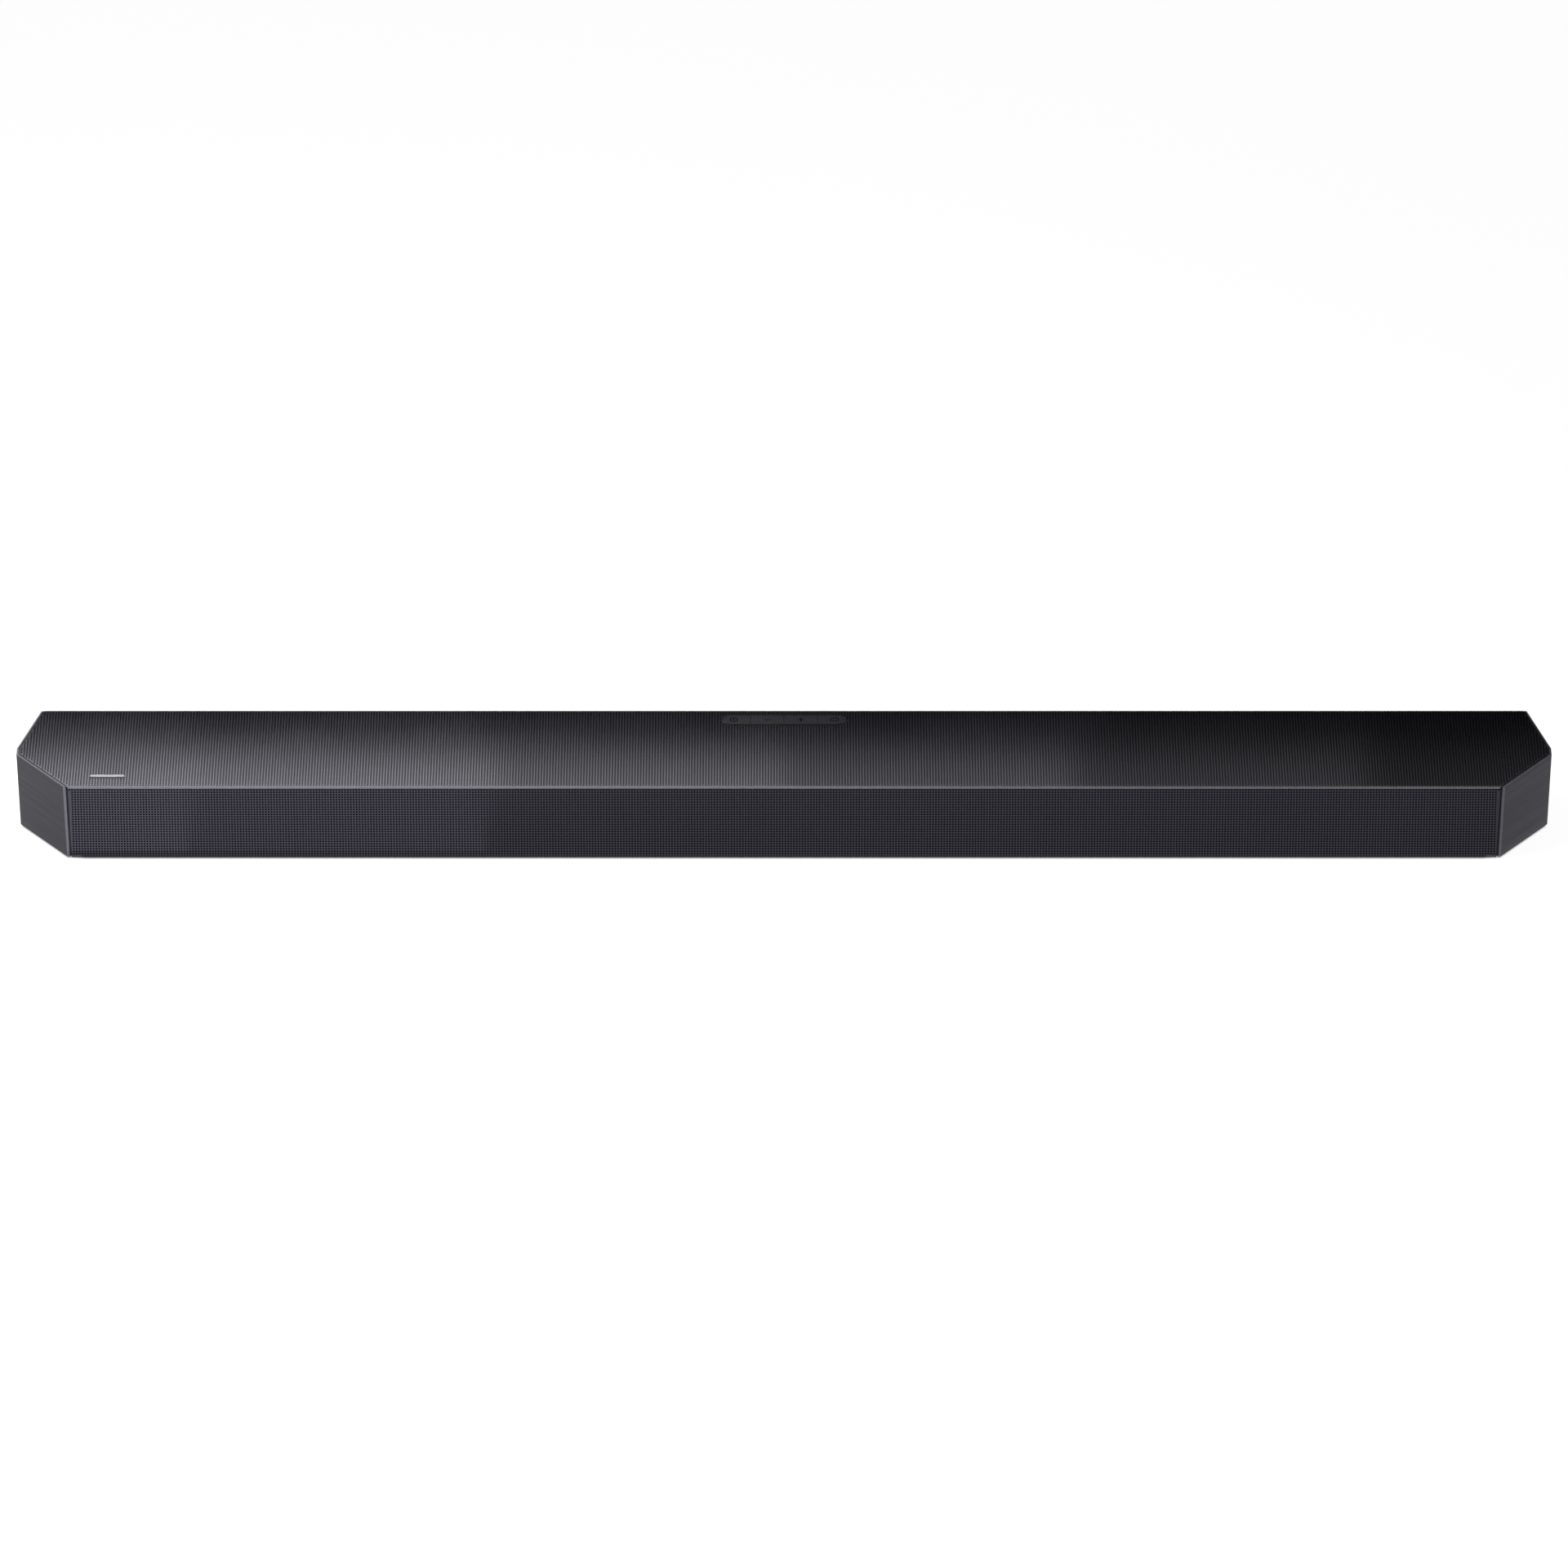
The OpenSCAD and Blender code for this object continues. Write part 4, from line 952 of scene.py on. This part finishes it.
def area_light(name, place, aim, width, height, radiance):
    """A soft rectangular lamp whose face has a radiance in the picture's own units."""
    data = bpy.data.lights.new(name, "AREA")
    data.shape = "RECTANGLE"
    data.size, data.size_y = width, height
    data.energy = radiance * math.pi * width * height
    lamp = bpy.data.objects.new(name, data)
    bpy.context.scene.collection.objects.link(lamp)
    lamp.location = place
    lamp.rotation_euler = (Vector(aim) - Vector(place)).to_track_quat("-Z", "Y").to_euler()
    lamp.visible_camera = False


def make_world():
    """A studio that is white at eye level and darkens overhead."""
    world = bpy.data.worlds.new("studio")
    bpy.context.scene.world = world
    world.use_nodes = True
    tree = world.node_tree
    where = tree.nodes.new("ShaderNodeTexCoord")
    axes = tree.nodes.new("ShaderNodeSeparateXYZ")
    spread = tree.nodes.new("ShaderNodeMapRange")
    spread.interpolation_type = "SMOOTHSTEP"
    for socket, value in (("From Min", 0.02), ("From Max", 0.16), ("To Min", 1.0), ("To Max", CEILING)):
        spread.inputs[socket].default_value = value
    tree.links.new(where.outputs["Generated"], axes.inputs["Vector"])
    tree.links.new(axes.outputs["Z"], spread.inputs["Value"])
    background = tree.nodes["Background"]
    background.inputs["Color"].default_value = (0.98, 0.99, 1.0, 1)
    tree.links.new(spread.outputs["Result"], background.inputs["Strength"])


def make_stage():
    """The floor, the studio round it, and the lamps that the top and the front mirror."""
    make_floor()
    make_world()
    for k, radiance in enumerate(STRIP):
        x = LAMP_STEP * (k - (len(STRIP) - 1) / 2)
        area_light(f"strip_{k + 1}", (x, 0.20, 0.26), (x, 0, 0.26), LAMP_STEP, 0.16, radiance)
    area_light("overhead", (-0.45, -0.25, 0.70), (-0.45, -0.25, 0), 1.0, 0.6, 1.2)
    for k, radiance in enumerate(APRON):
        x = LAMP_STEP * k - 0.7
        area_light(f"apron_{k + 1}", (x, -0.18, 0.002), (x, -0.18, 1), LAMP_STEP, 0.24, radiance)
    bpy.context.scene.view_settings.view_transform = "Standard"


def make_camera():
    """A long lens far off, level with the photograph's."""
    data = bpy.data.cameras.new("camera")
    camera = bpy.data.objects.new("camera", data)
    bpy.context.scene.collection.objects.link(camera)
    bpy.context.scene.camera = camera
    data.sensor_width = 36
    data.lens = CAMERA_LENS
    data.clip_end = 100
    elevation = math.radians(CAMERA_ELEVATION)
    back = Vector((0, -math.cos(elevation), math.sin(elevation)))
    camera.location = Vector((0, 0, CAMERA_AIM_Z)) + back * CAMERA_DISTANCE
    camera.rotation_euler = (-back).to_track_quat("-Z", "Y").to_euler()


make_stage()
make_camera()
